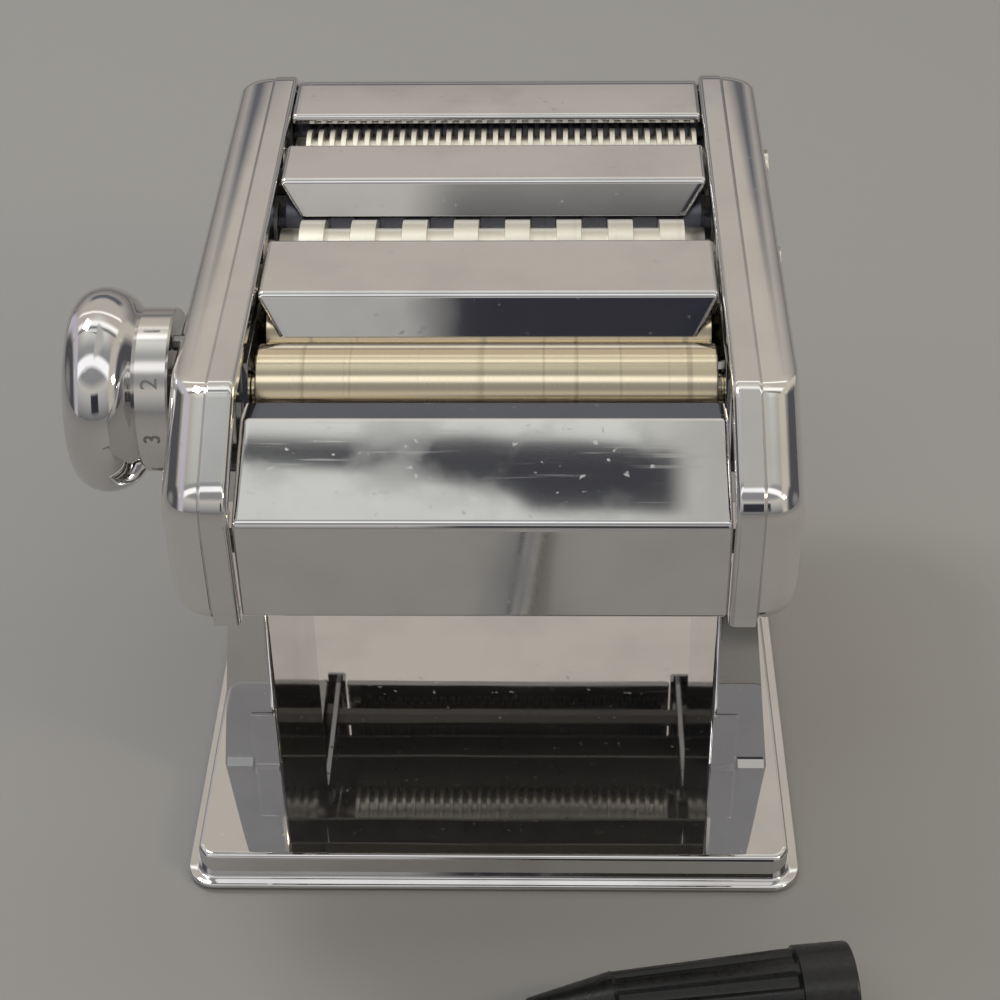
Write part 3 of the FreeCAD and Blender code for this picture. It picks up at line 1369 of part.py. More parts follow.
def main():
    os.makedirs("parts", exist_ok=True)
    save("base_tray", base_tray())
    save("leg_clips", leg_clips())
    save("rubber_feet", rubber_feet())
    save("side_frame_left", side_frame(-1))
    save("side_frame_right", side_frame(1))
    save("side_rim_right", side_rim())
    save("side_rim_left", mirrored(side_rim()))
    save("side_cover_left", side_cover(-1))
    save("side_cover_right", side_cover(1))
    save("front_panel", front_panel())
    save("front_top_plate", top_plate(*front_plate_ends()))
    save("middle_top_plate", top_plate(*middle_plate_ends()))
    save("rear_panel", rear_panel())
    save("smooth_roller_front", smooth_roller("smooth_front"))
    save("smooth_roller_rear", smooth_roller("smooth_rear"))
    save("wide_cutter_front", wide_roller("wide_front"))
    save("wide_cutter_rear", wide_roller("wide_rear"))
    save("fine_cutter_front", fine_roller("fine_front"))
    save("fine_cutter_rear", fine_roller("fine_rear"))
    save("smooth_gear_front", gear(SMOOTH_SPACING, SMOOTH_FRONT_Y, SMOOTH_Z, JOURNAL_RADIUS, True))
    save("smooth_gear_rear", gear(SMOOTH_SPACING, SMOOTH_BACK_Y, SMOOTH_Z, DRIVEN_RADIUS, False))
    save("wide_gear_front", gear(WIDE_SPACING, WIDE_FRONT_Y, WIDE_Z, DRIVEN_RADIUS, True))
    save("wide_gear_rear", gear(WIDE_SPACING, WIDE_BACK_Y, WIDE_Z, JOURNAL_RADIUS, False))
    save("fine_gear_front", gear(FINE_SPACING, FINE_FRONT_Y, FINE_Z, DRIVEN_RADIUS, True))
    save("fine_gear_rear", gear(FINE_SPACING, FINE_BACK_Y, FINE_Z, JOURNAL_RADIUS, False))
    save("roller_bushes", group(bushes(-1) + bushes(1)))
    save("carriage_plates", group([carriage_plate(-1), carriage_plate(1)]))
    save("carriage_rod", carriage_rod())
    save("front_scraper", front_scraper())
    save("cam_pin", cam_pin())
    save("scroll_cam", cam_disc())
    save("knob_shaft", knob_shaft())
    save("knob_washer", knob_washer())
    save("knob_spring", knob_spring())
    save("number_ring", number_ring())
    save("knob_grip", knob_grip())
    save("adjuster_bracket", adjuster_bracket())
    save("bracket_posts", bracket_posts())
    save("locating_pin", locating_pin())
    wide = (WIDE_RADIUS, WIDE_SPACING, WIDE_PITCH)
    fine = (FINE_RADIUS, FINE_SPACING, FINE_PITCH)
    save("wide_stripper_front", stripper(*wide, WIDE_FRONT_Y, WIDE_Z, 0.0, 1))
    save("wide_stripper_rear", stripper(*wide, WIDE_BACK_Y, WIDE_Z, 0.5, -1))
    save("fine_stripper_front", stripper(*fine, FINE_FRONT_Y, FINE_Z, 0.5, 1))
    save("fine_stripper_rear", stripper(*fine, FINE_BACK_Y, FINE_Z, 0.0, -1))
    save("rear_scraper", rear_scraper())
    save("roller_cheeks", group([roller_cheeks(-1), roller_cheeks(1)]))
    save("tie_rods", tie_rods())
    save("tie_nuts", tie_nuts())
    save("crank_rod", crank_place(crank_rod()))
    save("crank_pin", crank_place(crank_pin_shape()))
    save("crank_grip", crank_place(crank_grip()))


main()
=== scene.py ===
# %% [markdown]
# # A chromed pasta machine, dressed piece by piece
# The machine's construction comes packed as a fixed frame: every plate, roller and gear at its real size.
# This lesson gives it its looks. Polished sheet metal shows every ripple and edge radius in its
# reflections, so the visible sheets, covers and rollers are built again here as fine, smooth meshes on the
# frame's own places, and everything else keeps its shape and only gets a finish.

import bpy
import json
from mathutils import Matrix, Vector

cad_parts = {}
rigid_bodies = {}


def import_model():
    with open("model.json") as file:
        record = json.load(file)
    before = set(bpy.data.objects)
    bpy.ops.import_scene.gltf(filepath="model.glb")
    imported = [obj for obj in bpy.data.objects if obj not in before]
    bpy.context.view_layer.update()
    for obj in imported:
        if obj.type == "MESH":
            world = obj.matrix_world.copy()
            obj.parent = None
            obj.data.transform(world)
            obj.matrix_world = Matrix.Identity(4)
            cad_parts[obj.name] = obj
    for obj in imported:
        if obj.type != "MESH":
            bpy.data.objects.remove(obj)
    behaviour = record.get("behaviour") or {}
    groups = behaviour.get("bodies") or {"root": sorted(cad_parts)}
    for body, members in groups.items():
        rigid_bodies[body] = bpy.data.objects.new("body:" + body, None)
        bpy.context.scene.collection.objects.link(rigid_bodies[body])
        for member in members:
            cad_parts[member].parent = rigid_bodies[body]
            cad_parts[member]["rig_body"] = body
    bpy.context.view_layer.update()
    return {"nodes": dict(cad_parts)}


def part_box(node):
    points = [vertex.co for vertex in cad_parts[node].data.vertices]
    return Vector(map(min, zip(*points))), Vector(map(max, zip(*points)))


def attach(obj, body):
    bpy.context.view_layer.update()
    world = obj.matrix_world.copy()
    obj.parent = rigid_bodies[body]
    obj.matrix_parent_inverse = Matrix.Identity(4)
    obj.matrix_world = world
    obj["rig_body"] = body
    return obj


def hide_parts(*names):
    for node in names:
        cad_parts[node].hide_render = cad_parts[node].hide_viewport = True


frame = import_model()
nodes = frame["nodes"]

# %% The tools of the lesson
import json
import math

import bmesh
import bpy
from mathutils import Matrix, Vector

MM = 0.001
scene = bpy.context.scene
scene.view_settings.view_transform = "Standard"

# %% [markdown]
# ## The camera
# The camera stands in front of the machine, above it and a little to the right, and looks down by about 37
# degrees through a long lens, which keeps the sides nearly parallel. The values come from fitting a camera
# to the machine's straight edges. We write them as yaw, pitch and roll, because those are easy to picture,
# and turn them into three axes for Blender.

# %% Place the camera
CAMERA_PLACE = Vector((16.3, -480.9, 432.8)) * MM
CAMERA_YAW = math.radians(-1.78)
CAMERA_PITCH = math.radians(37.13)
CAMERA_ROLL = math.radians(-1.02)
CAMERA_LENS = 79.3
SENSOR_WIDTH = 36.0
NEAREST_SEEN = 0.01

ahead = Vector((
    math.sin(CAMERA_YAW) * math.cos(CAMERA_PITCH),
    math.cos(CAMERA_YAW) * math.cos(CAMERA_PITCH),
    -math.sin(CAMERA_PITCH),
))
level = Vector((math.cos(CAMERA_YAW), -math.sin(CAMERA_YAW), 0.0))
upright = level.cross(ahead)
right = level * math.cos(CAMERA_ROLL) + upright * math.sin(CAMERA_ROLL)
above = upright * math.cos(CAMERA_ROLL) - level * math.sin(CAMERA_ROLL)

camera_data = bpy.data.cameras.new("camera")
camera_data.lens = CAMERA_LENS
camera_data.sensor_width = SENSOR_WIDTH
camera_data.clip_start = NEAREST_SEEN
camera = bpy.data.objects.new("camera", camera_data)
scene.collection.objects.link(camera)
turn = Matrix((right, above, -ahead)).transposed().to_4x4()
camera.matrix_world = Matrix.Translation(CAMERA_PLACE) @ turn
scene.camera = camera
print("camera looks down by", round(math.degrees(CAMERA_PITCH), 1), "degrees")

# %% [markdown]
# ## Finishes
# Polished chrome has almost no colour of its own. What makes it look real is what isn't perfect: the sheet
# is faintly wavy from pressing, fingers have left hazy patches, and there are hairline scratches.
# So one function makes every chrome, with the waves in the bump and the haze in the roughness. All
# patterns use object coordinates in metres, so they keep their scale on pieces of any size.
#
# A material is a small graph of nodes. Each helper below adds one kind of node and returns its output, so a
# finish reads like a recipe: make a noise, spread its range, send it to a socket of the shader.

# %% Start a material
def new_material(name, base, metallic, roughness):
    """Makes a material with plain values, and gives its nodes and the place on the piece to build on."""
    material = bpy.data.materials.new(name)
    material.use_nodes = True
    tree = material.node_tree
    shader = tree.nodes["Principled BSDF"]
    shader.inputs["Base Color"].default_value = (*base, 1.0)
    shader.inputs["Metallic"].default_value = metallic
    shader.inputs["Roughness"].default_value = roughness
    place = tree.nodes.new("ShaderNodeTexCoord")
    return material, tree, shader, place.outputs["Object"]


# %% Patterns and sums
def noise(tree, place, scale, detail=2.0, stretch=(1.0, 1.0, 1.0)):
    """Adds a noise whose spots are about 1 / scale metres wide, drawn out by the stretch."""
    mapping = tree.nodes.new("ShaderNodeMapping")
    mapping.inputs["Scale"].default_value = stretch
    tree.links.new(place, mapping.inputs["Vector"])
    texture = tree.nodes.new("ShaderNodeTexNoise")
    texture.inputs["Scale"].default_value = scale
    texture.inputs["Detail"].default_value = detail
    tree.links.new(mapping.outputs["Vector"], texture.inputs["Vector"])
    return texture.outputs["Fac"]


def spread(tree, value, low, high, to_low, to_high):
    """Maps a value's range low to high onto another range, and stops at its ends."""
    node = tree.nodes.new("ShaderNodeMapRange")
    node.inputs["From Min"].default_value = low
    node.inputs["From Max"].default_value = high
    node.inputs["To Min"].default_value = to_low
    node.inputs["To Max"].default_value = to_high
    tree.links.new(value, node.inputs["Value"])
    return node.outputs["Result"]


def combine(tree, a, b, operation="ADD"):
    """Adds, multiplies or compares two values, each a number or another node's output."""
    node = tree.nodes.new("ShaderNodeMath")
    node.operation = operation
    for value, socket in ((a, node.inputs[0]), (b, node.inputs[1])):
        if isinstance(value, float):
            socket.default_value = value
        else:
            tree.links.new(value, socket)
    return node.outputs["Value"]


# %% Colour and bump
def tint(tree, value, dark, light):
    """Blends two colours by a value from 0 to 1."""
    ramp = tree.nodes.new("ShaderNodeValToRGB")
    ramp.color_ramp.elements[0].color = (*dark, 1.0)
    ramp.color_ramp.elements[1].color = (*light, 1.0)
    tree.links.new(value, ramp.inputs["Fac"])
    return ramp.outputs["Color"]


def bump(tree, shader, height, depth):
    """Adds a bump whose full height is depth metres."""
    node = tree.nodes.new("ShaderNodeBump")
    node.inputs["Strength"].default_value = 1.0
    node.inputs["Distance"].default_value = depth
    tree.links.new(height, node.inputs["Height"])
    tree.links.new(node.outputs["Normal"], shader.inputs["Normal"])


# %% Chrome
CHROME_METALLIC = 0.96
SMUDGE_SCALE = 45.0
SMUDGE_SHADE = 0.88
SPECK_SCALE = 480.0
SPECK_ROUGHNESS = 0.18
HAIRLINE_SCALE = 900.0
HAIRLINE_STRETCH = (0.04, 1.0, 1.0)
HAIRLINE_ROUGHNESS = 0.05
RIPPLE_SCALE = 22.0


def chrome(name, base=(0.74, 0.73, 0.73), shine=0.04, haze=0.16, wave=0.0001):
    """Makes polished chrome: smudges up to haze rougher than shine, hairlines, specks and waves in metres."""
    material, tree, shader, place = new_material(name, base, CHROME_METALLIC, shine)
    smudge = noise(tree, place, SMUDGE_SCALE, 4.0)
    speck = noise(tree, place, SPECK_SCALE, 2.0)
    hairline = noise(tree, place, HAIRLINE_SCALE, 2.0, HAIRLINE_STRETCH)
    fog = spread(tree, smudge, 0.50, 0.78, shine, shine + haze)
    lines = spread(tree, hairline, 0.64, 0.80, 0.0, HAIRLINE_ROUGHNESS)
    spots = spread(tree, speck, 0.68, 0.76, 0.0, SPECK_ROUGHNESS)
    roughness = combine(tree, combine(tree, fog, lines), spots)
    tree.links.new(roughness, shader.inputs["Roughness"])
    clean = spread(tree, smudge, 0.45, 0.80, 1.0, 0.0)
    smudged = tuple(c * SMUDGE_SHADE for c in base)
    tree.links.new(tint(tree, clean, smudged, base), shader.inputs["Base Color"])
    bump(tree, shader, noise(tree, place, RIPPLE_SCALE, 1.0), wave)
    return material


# %% [markdown]
# Turned steel is the opposite of chrome: it is all fine rings. The tool that cut the roller left a
# mark round it for every step along its length, so the pattern depends on the place along the axis alone,
# and turning the roller doesn't move it. A one dimensional noise does exactly this.

# %% Turned steel
FINE_RINGS = (2600.0, 3.0)
BROAD_RINGS = (260.0, 4.0)


def turned_steel(name, base=(0.80, 0.70, 0.52), shine=0.14, contrast=0.78, ring_depth=0.0000025):
    """Makes turned steel: close fine rings that can be felt, and here and there a broad darker one."""
    material, tree, shader, place = new_material(name, base, 1.0, shine)
    axes = tree.nodes.new("ShaderNodeSeparateXYZ")
    tree.links.new(place, axes.inputs["Vector"])
    rings = []
    for scale, detail in (FINE_RINGS, BROAD_RINGS):
        texture = tree.nodes.new("ShaderNodeTexNoise")
        texture.noise_dimensions = "1D"
        texture.inputs["Scale"].default_value = scale
        texture.inputs["Detail"].default_value = detail
        tree.links.new(axes.outputs["X"], texture.inputs["W"])
        rings.append(texture.outputs["Fac"])
    streak = spread(tree, rings[1], 0.30, 0.42, 0.0, 1.0)
    dark = tuple(c * contrast for c in base)
    tree.links.new(tint(tree, streak, dark, base), shader.inputs["Base Color"])
    rough = spread(tree, rings[0], 0.3, 0.7, shine - 0.03, shine + 0.05)
    tree.links.new(rough, shader.inputs["Roughness"])
    bump(tree, shader, rings[0], ring_depth)
    return material


# %% Plain steel, plastic and rubber
def grained(name, base, roughness, metallic, grain, detail, smoother, rougher, wear, depth):
    """Makes a material with a fine grain that shows in its colour, its shine and its surface."""
    material, tree, shader, place = new_material(name, base, metallic, roughness)
    spots = noise(tree, place, grain, detail)
    uneven = spread(tree, spots, 0.3, 0.7, roughness - smoother, roughness + rougher)
    tree.links.new(uneven, shader.inputs["Roughness"])
    worn = tuple(c * wear for c in base)
    tree.links.new(tint(tree, spots, worn, base), shader.inputs["Base Color"])
    bump(tree, shader, spots, depth)
    return material


def dull_metal(name, base, roughness):
    return grained(name, base, roughness, 1.0, 350.0, 4.0, 0.10, 0.12, 0.7, 0.00003)


def soft_plastic(name, base, roughness, grain=700.0, depth=0.00004):
    return grained(name, base, roughness, 0.0, grain, 3.0, 0.08, 0.10, 0.75, depth)


# %% All the finishes
SHEET_CHROME = chrome("sheet_chrome", haze=0.07, wave=0.00008)
COVER_CHROME = chrome("cover_chrome", base=(0.80, 0.785, 0.765), haze=0.08, wave=0.00010)
TRAY_CHROME = chrome("tray_chrome", shine=0.02, haze=0.03, wave=0.00006)
KNOB_CHROME = chrome("knob_chrome", haze=0.08, wave=0.00004)
RING_SATIN = chrome("ring_satin", base=(0.74, 0.72, 0.70), shine=0.17, haze=0.12, wave=0.00002)
ROLLER_STEEL = turned_steel("roller_steel")
CUTTER_STEEL = turned_steel("cutter_steel", base=(0.92, 0.89, 0.80), shine=0.34, contrast=0.94)
# The rear cutters sit under the plates, so their steel is painted dark: painted shade for the shade there.
PAINTED_SHADE_STEEL = turned_steel("painted_shade_steel", base=(0.13, 0.135, 0.16), shine=0.30, contrast=0.9)
GEAR_STEEL = dull_metal("gear_steel", (0.42, 0.42, 0.43), 0.42)
# The parts inside the body are oily steel, painted darker still as painted shade for the shade inside the
# body.
INNER_STEEL_AND_SHADE = dull_metal("inner_steel", (0.22, 0.21, 0.20), 0.36)
CRANK_STEEL = dull_metal("crank_steel", (0.55, 0.55, 0.56), 0.24)
BUSH_PLASTIC = soft_plastic("bush_plastic", (0.78, 0.77, 0.72), 0.45)
FOOT_RUBBER = soft_plastic("foot_rubber", (0.03, 0.03, 0.03), 0.75)
GRIP_PLASTIC = soft_plastic("grip_plastic", (0.012, 0.012, 0.013), 0.30, grain=500.0, depth=0.00002)
DIGIT_STEEL = dull_metal("digit_steel", (0.36, 0.35, 0.34), 0.30)
print("materials:", len(bpy.data.materials))

# %% [markdown]
# ## From an outline to a mesh
# Nearly every sheet on the machine is a strip of metal folded along straight lines. Seen from the side it
# is a path of straight runs with an arc at each fold. So we keep such a path as its sharp corner points
# and one radius for each corner, and draw the arcs only when the mesh is made. Moving a path inwards by the
# sheet's thickness keeps its corners and changes its radii. Blender has curves with bevels for such work,
# but lists of points let us say exactly where each fold starts and how thick the sheet is.

# %% Draw a path with its arcs
ARC_STEP = math.radians(5.0)


def way(a, b):
    """Gives the direction from a to b, one unit long."""
    length = math.hypot(b[0] - a[0], b[1] - a[1])
    return ((b[0] - a[0]) / length, (b[1] - a[1]) / length)


def draw_path(points, radii, closed=False):
    """Gives the points of a path whose corners are arcs, as many for any radius."""
    drawn = []
    count = len(points)
    for i, point in enumerate(points):
        if radii[i] <= 0 or (not closed and i in (0, count - 1)):
            drawn.append(point)
            continue
        a = way(points[i - 1], point)
        b = way(point, points[(i + 1) % count])
        bend = math.atan2(a[0] * b[1] - a[1] * b[0], a[0] * b[0] + a[1] * b[1])
        side = math.copysign(1.0, bend)
        reach = radii[i] * math.tan(abs(bend) / 2)
        start = (point[0] - a[0] * reach, point[1] - a[1] * reach)
        centre = (start[0] - side * a[1] * radii[i], start[1] + side * a[0] * radii[i])
        first = math.atan2(start[1] - centre[1], start[0] - centre[0])
        chords = max(3, round(abs(bend) / ARC_STEP))
        for j in range(chords + 1):
            angle = first + bend * j / chords
            drawn.append((centre[0] + radii[i] * math.cos(angle), centre[1] + radii[i] * math.sin(angle)))
    return drawn


# %% Move a path sideways
def aside(point, d, gap):
    """Gives a point moved to the left of a direction."""
    return (point[0] - d[1] * gap, point[1] + d[0] * gap)


def shift_path(points, radii, gaps, closed=False):
    """Moves each run of a path to its left by its gap, and fits the radii to it."""
    count = len(points)
    runs = count if closed else count - 1
    lines = []
    for i in range(runs):
        d = way(points[i], points[(i + 1) % count])
        lines.append((aside(points[i], d, gaps[i]), d))
    moved = []
    fitted = []
    for i in range(count):
        if not closed and i in (0, count - 1):
            end = min(i, runs - 1)
            moved.append(aside(points[i], lines[end][1], gaps[end]))
            fitted.append(0.0)
            continue
        (p, a), (q, b) = lines[(i - 1) % runs], lines[i % runs]
        cross = a[0] * b[1] - a[1] * b[0]
        t = ((q[0] - p[0]) * b[1] - (q[1] - p[1]) * b[0]) / cross
        moved.append((p[0] + t * a[0], p[1] + t * a[1]))
        gap = (gaps[(i - 1) % runs] + gaps[i % runs]) / 2
        fitted.append(radii[i] - gap if cross > 0 else radii[i] + gap)
    return moved, fitted


# %% Turn rings of points into a solid
SAME_POINT = 1e-7


def new_object(name, points, faces):
    """Makes a mesh object from points in millimetres, with its faces turned outwards."""
    mesh = bpy.data.meshes.new(name)
    mesh.from_pydata([Vector(p) * MM for p in points], [], faces)
    work = bmesh.new()
    work.from_mesh(mesh)
    bmesh.ops.remove_doubles(work, verts=work.verts, dist=SAME_POINT)
    bmesh.ops.recalc_face_normals(work, faces=work.faces)
    work.to_mesh(mesh)
    work.free()
    made = bpy.data.objects.new(name, mesh)
    scene.collection.objects.link(made)
    return made


def band(low, high, size):
    """Gives the faces between two rings of size points, which start at the point numbers low and high."""
    return [(low + j, low + (j + 1) % size, high + (j + 1) % size, high + j) for j in range(size)]


def ring_solid(name, rings):
    """Joins rings with equally many points, and closes the first and the last with a cap."""
    size = len(rings[0])
    last = (len(rings) - 1) * size
    points = [p for ring in rings for p in ring]
    faces = []
    for low in range(0, last, size):
        faces += band(low, low + size, size)
    faces.append(tuple(range(size - 1, -1, -1)))
    faces.append(tuple(range(last, last + size)))
    return new_object(name, points, faces)


# %% [markdown]
# Shading matters as much as shape on a mirror. Blender blends the normals of neighbouring faces, and on a
# long flat sheet with thin rounded edges that bends the whole reflection. A Weighted Normal modifier lets
# the large faces win, so flat stays flat, and a narrow Bevel gives the sharp edges their bright line.

# %% Smooth a piece and dress it
EDGE_SEGMENTS = 3


def smooth(piece, edge=0.0, limit=35.0):
    """Shades a piece smooth up to a limit, rounds its sharp edges by edge mm, and keeps flat faces flat."""
    piece.data.shade_smooth()
    piece.data.set_sharp_from_angle(angle=math.radians(limit))
    if edge > 0:
        bevel = piece.modifiers.new("edge", "BEVEL")
        bevel.width = edge * MM
        bevel.segments = EDGE_SEGMENTS
        bevel.limit_method = "ANGLE"
        bevel.angle_limit = math.radians(limit)
    level_out = piece.modifiers.new("flat faces", "WEIGHTED_NORMAL")
    level_out.keep_sharp = True
    return piece


def dress(piece, material, node):
    """Gives a piece its material and the body of the node that it stands for, and hides that node."""
    piece.data.materials.clear()
    piece.data.materials.append(material)
    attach(piece, nodes[node]["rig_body"])
    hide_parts(node)
    print(piece.name, len(piece.data.polygons), "faces")
    return piece


# %% [markdown]
# ## Side rims
# Each rim is a band that follows the body's side outline: up the back, over the flat top, down the slope
# and round the nose. Its inner edge is rolled over, which gives the thin bright line beside the plates.
# A sweep is right for it: one small section, carried along the outline, with its depth measured square to
# the path. So each point of the section gets its own copy of the outline, moved inwards by its depth.

# %% Body outline
BODY_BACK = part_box("side_rim_right")[1].y / MM
BODY_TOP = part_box("side_rim_right")[1].z / MM
BODY_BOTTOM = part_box("side_rim_right")[0].z / MM
NOSE_PLACE = (-94.8, 138.0)
SLOPE_TOP_Y = -67.5
BODY_FOOT_Y = -91.5
BODY_POINTS = [
    (BODY_BACK, BODY_BOTTOM),
    (BODY_BACK, BODY_TOP),
    (SLOPE_TOP_Y, BODY_TOP),
    NOSE_PLACE,
    (BODY_FOOT_Y, BODY_BOTTOM),
]
BODY_RADII = [0.0, 12.0, 14.0, 10.0, 0.0]
RIM_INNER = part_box("side_rim_right")[0].x / MM
RIM_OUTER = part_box("side_rim_right")[1].x / MM
print("body from", round(BODY_BOTTOM, 1), "to", round(BODY_TOP, 1), "mm")

# %% Sweep the rims
RIM_ROLL = 1.5
ROLL_STEPS = 8
RIM_DEPTH = 4.0
RIM_SHEET = 1.0
RIM_CREASE = 0.5
RIM_SMOOTH = 40.0


def rim_section():
    """Gives the rim's section as (x, depth under the outline)."""
    eased = RIM_CREASE * 0.3
    section = [(RIM_OUTER, RIM_CREASE), (RIM_OUTER - eased, eased), (RIM_OUTER - RIM_CREASE, 0.0)]
    for i in range(ROLL_STEPS + 1):
        angle = math.pi / 2 * i / ROLL_STEPS
        x = RIM_INNER + RIM_ROLL * (1 - math.sin(angle))
        section.append((x, RIM_ROLL * (1 - math.cos(angle))))
    section += [(RIM_INNER, RIM_DEPTH), (RIM_INNER + RIM_SHEET, RIM_DEPTH)]
    section += [(RIM_INNER + RIM_SHEET, RIM_ROLL), (RIM_INNER + RIM_ROLL, RIM_SHEET)]
    section.append((RIM_OUTER, RIM_SHEET))
    return section


def side_rim(name, side):
    """Sweeps the section along the body's outline, on the side -1 or 1."""
    columns = []
    for x, depth in rim_section():
        points, radii = shift_path(BODY_POINTS, BODY_RADII, [depth] * (len(BODY_POINTS) - 1))
        columns.append([(side * x, y, z) for y, z in draw_path(points, radii)])
    rings = [list(ring) for ring in zip(*columns)]
    return smooth(ring_solid(name, rings), limit=RIM_SMOOTH)


for side, word in ((-1, "left"), (1, "right")):
    dress(side_rim("rim_" + word, side), SHEET_CHROME, "side_rim_" + word)

# %% [markdown]
# ## Side covers
# The covers are pressed pillows. Their outline is the body's, but it draws in as the surface rounds over
# to the flat side: little along the top, much along the bottom. Each ring of the loft takes a share of that
# rounding, a quarter turn from the rim to the flat side, and each side of the outline has its own depth.

# %% Pillow surface
COVER_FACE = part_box("side_cover_right")[1].x / MM
COVER_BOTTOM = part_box("side_cover_right")[0].z / MM
COVER_SHEET = 1.0
COVER_CREASE = 0.35
COVER_CORNERS = [6.0, 12.0, 14.0, 10.0, 6.0]
ROUNDINGS = {"back": 6.0, "top": 3.5, "slope": 8.0, "front": 6.5, "bottom": 9.0}
ROUND_STEPS = 14
FIRST_SHARE = 0.03
INNER_STEPS = 6
EDGE_LIFT = 0.35
LEAST_CORNER = 2.0
CORNER_GROWTH = 2.5


def cover_ring(share, wall, side, lift=0.0):
    """Gives the cover's outline at a share of its rounding, inside its wall."""
    points = [(BODY_BACK, COVER_BOTTOM - COVER_CREASE)] + BODY_POINTS[1:4]
    points.append((BODY_FOOT_Y, COVER_BOTTOM - COVER_CREASE))
    drawn_in = 1 - math.cos(share * math.pi / 2)
    gaps = [depth * drawn_in + wall + COVER_CREASE + lift for depth in ROUNDINGS.values()]
    moved, fitted = shift_path(points, COVER_CORNERS, gaps, closed=True)
    fitted = [max(radius, LEAST_CORNER + CORNER_GROWTH * share) for radius in fitted]
    x = RIM_OUTER + (COVER_FACE - RIM_OUTER - wall) * math.sin(share * math.pi / 2)
    return [(side * x, y, z) for y, z in draw_path(moved, fitted, closed=True)]


def side_cover(name, side):
    """Gives the cover's outer solid and the solid that hollows it."""
    rings = [cover_ring(0.0, 0.0, side, EDGE_LIFT)]
    rings += [cover_ring(max(i / ROUND_STEPS, FIRST_SHARE), 0.0, side) for i in range(ROUND_STEPS + 1)]
    inner = [cover_ring(i / INNER_STEPS, COVER_SHEET, side) for i in range(INNER_STEPS, -1, -1)]
    return ring_solid(name, rings), ring_solid(name + "_inside", inner)


# %% [markdown]
# The cover is hollow, and shafts come through it, so solids are cut out of it. A Boolean modifier does
# that. It is applied at once, by taking the finished mesh from the evaluated object, so that the tools can
# be thrown away and a plain mesh is left.

# %% Cut one mesh out of another
def carve(piece, *tools):
    """Takes the tools' solids out of a piece for good, and removes the tools."""
    for tool in tools:
        cut = piece.modifiers.new("cut", "BOOLEAN")
        cut.operation = "DIFFERENCE"
        cut.solver = "EXACT"
        cut.object = tool
    bpy.context.view_layer.update()
    shaped = bpy.data.meshes.new_from_object(piece.evaluated_get(bpy.context.evaluated_depsgraph_get()))
    piece.modifiers.clear()
    piece.data = shaped
    for tool in tools:
        bpy.data.objects.remove(tool)
    return piece


# %% Circles and axes
def circle(radius, x, y, z, steps=64):
    """Gives the points of a circle about an axis along X."""
    turns = [2 * math.pi * i / steps for i in range(steps)]
    return [(x, y + radius * math.cos(turn), z + radius * math.sin(turn)) for turn in turns]


def axis_of(node):
    """Gives the middle of a round node in the side view, in millimetres."""
    low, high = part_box(node)
    return ((low.y + high.y) / 2 / MM, (low.z + high.z) / 2 / MM)


# %% Covers with their holes
SLEEVE_HOLE = 5.75
SHAFT_HOLE = 6.0
PIN_HOLE = 2.3
DRIVEN_GEARS = ("smooth_gear_rear", "wide_gear_front", "fine_gear_front")
HOLE_MARGIN = 2.0
COVER_SMOOTH = 32.0


def cover_holes(side):
    """Lists the round holes of a cover as radius and place: crank sockets right, knob and pin left."""
    if side > 0:
        return [(SLEEVE_HOLE, *axis_of(name)) for name in DRIVEN_GEARS]
    return [(SHAFT_HOLE, *axis_of("knob_shaft")), (PIN_HOLE, *axis_of("locating_pin"))]


for side, word in ((-1, "left"), (1, "right")):
    shell, inside = side_cover("cover_" + word, side)
    tools = [inside]
    for radius, y, z in cover_holes(side):
        start = side * (RIM_OUTER + HOLE_MARGIN)
        end = side * (COVER_FACE + HOLE_MARGIN)
        tools.append(ring_solid("hole", [circle(radius, start, y, z), circle(radius, end, y, z)]))
    smooth(carve(shell, *tools), limit=COVER_SMOOTH)
    dress(shell, COVER_CHROME, "side_cover_" + word)

# %% [markdown]
# ## Folded sheets
# The front panel, the two plates and the rear panel are strips folded about long straight lines. A strip is
# the path's outer line and the same line moved in by the thickness, carried from left to right. The ends of
# the real sheets are eased by the press, so the outermost millimetre sinks a little, which draws a bright
# line there. The plates' front faces also narrow towards their lower edge. Cloth or sculpting tools would
# only make such a sheet uneven: a fold needs the same arc all along its length.

# %% Make a folded strip
SHEET = 1.0
SHEET_EDGE = 0.12
END_EASE = ((0.0, 0.55), (0.25, 0.26), (0.6, 0.08), (1.1, 0.0), (2.4, 0.0))


def folded_strip(name, points, radii, half, narrow=None):
    """Makes a folded sheet between -half and half, with its thickness to the left of the path."""
    runs = len(points) - 1
    stations = [(half - reach, sink) for reach, sink in END_EASE]
    stations = [(-x, sink) for x, sink in stations] + [(x, sink) for x, sink in reversed(stations)]
    rings = []
    for x, sink in stations:
        outer = draw_path(*shift_path(points, radii, [sink] * runs))
        inner = draw_path(*shift_path(points, radii, [SHEET] * runs))
        section = outer + inner[::-1]
        pull = [narrow(p) if narrow else 0.0 for p in section]
        rings.append([(x - math.copysign(p, x), y, z) for (y, z), p in zip(section, pull)])
    return smooth(ring_solid(name, rings), edge=SHEET_EDGE)


# %% Front panel
PANEL_HALF = 56.3
PANEL_POINTS = [
    (-57.8, 140.7),
    (-65.9, 141.8),
    (-92.1, 130.9),
    (-90.4, 102.7),
    (-87.4, 102.7),
]
PANEL_RADII = [0.0, 1.8, 2.5, 1.2, 0.0]
panel = folded_strip("panel_front", PANEL_POINTS, PANEL_RADII, PANEL_HALF)
dress(panel, SHEET_CHROME, "front_panel")

# %% Top plates
PLATE_HALF = 55.8
PLATE_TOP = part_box("front_top_plate")[1].z / MM
PLATE_RADII = [0.0, 1.6, 2.2, 0.0]
FACE_CUT = 5.0
FACE_CUT_HEIGHT = 6.2
BACK_LIP = 7.0


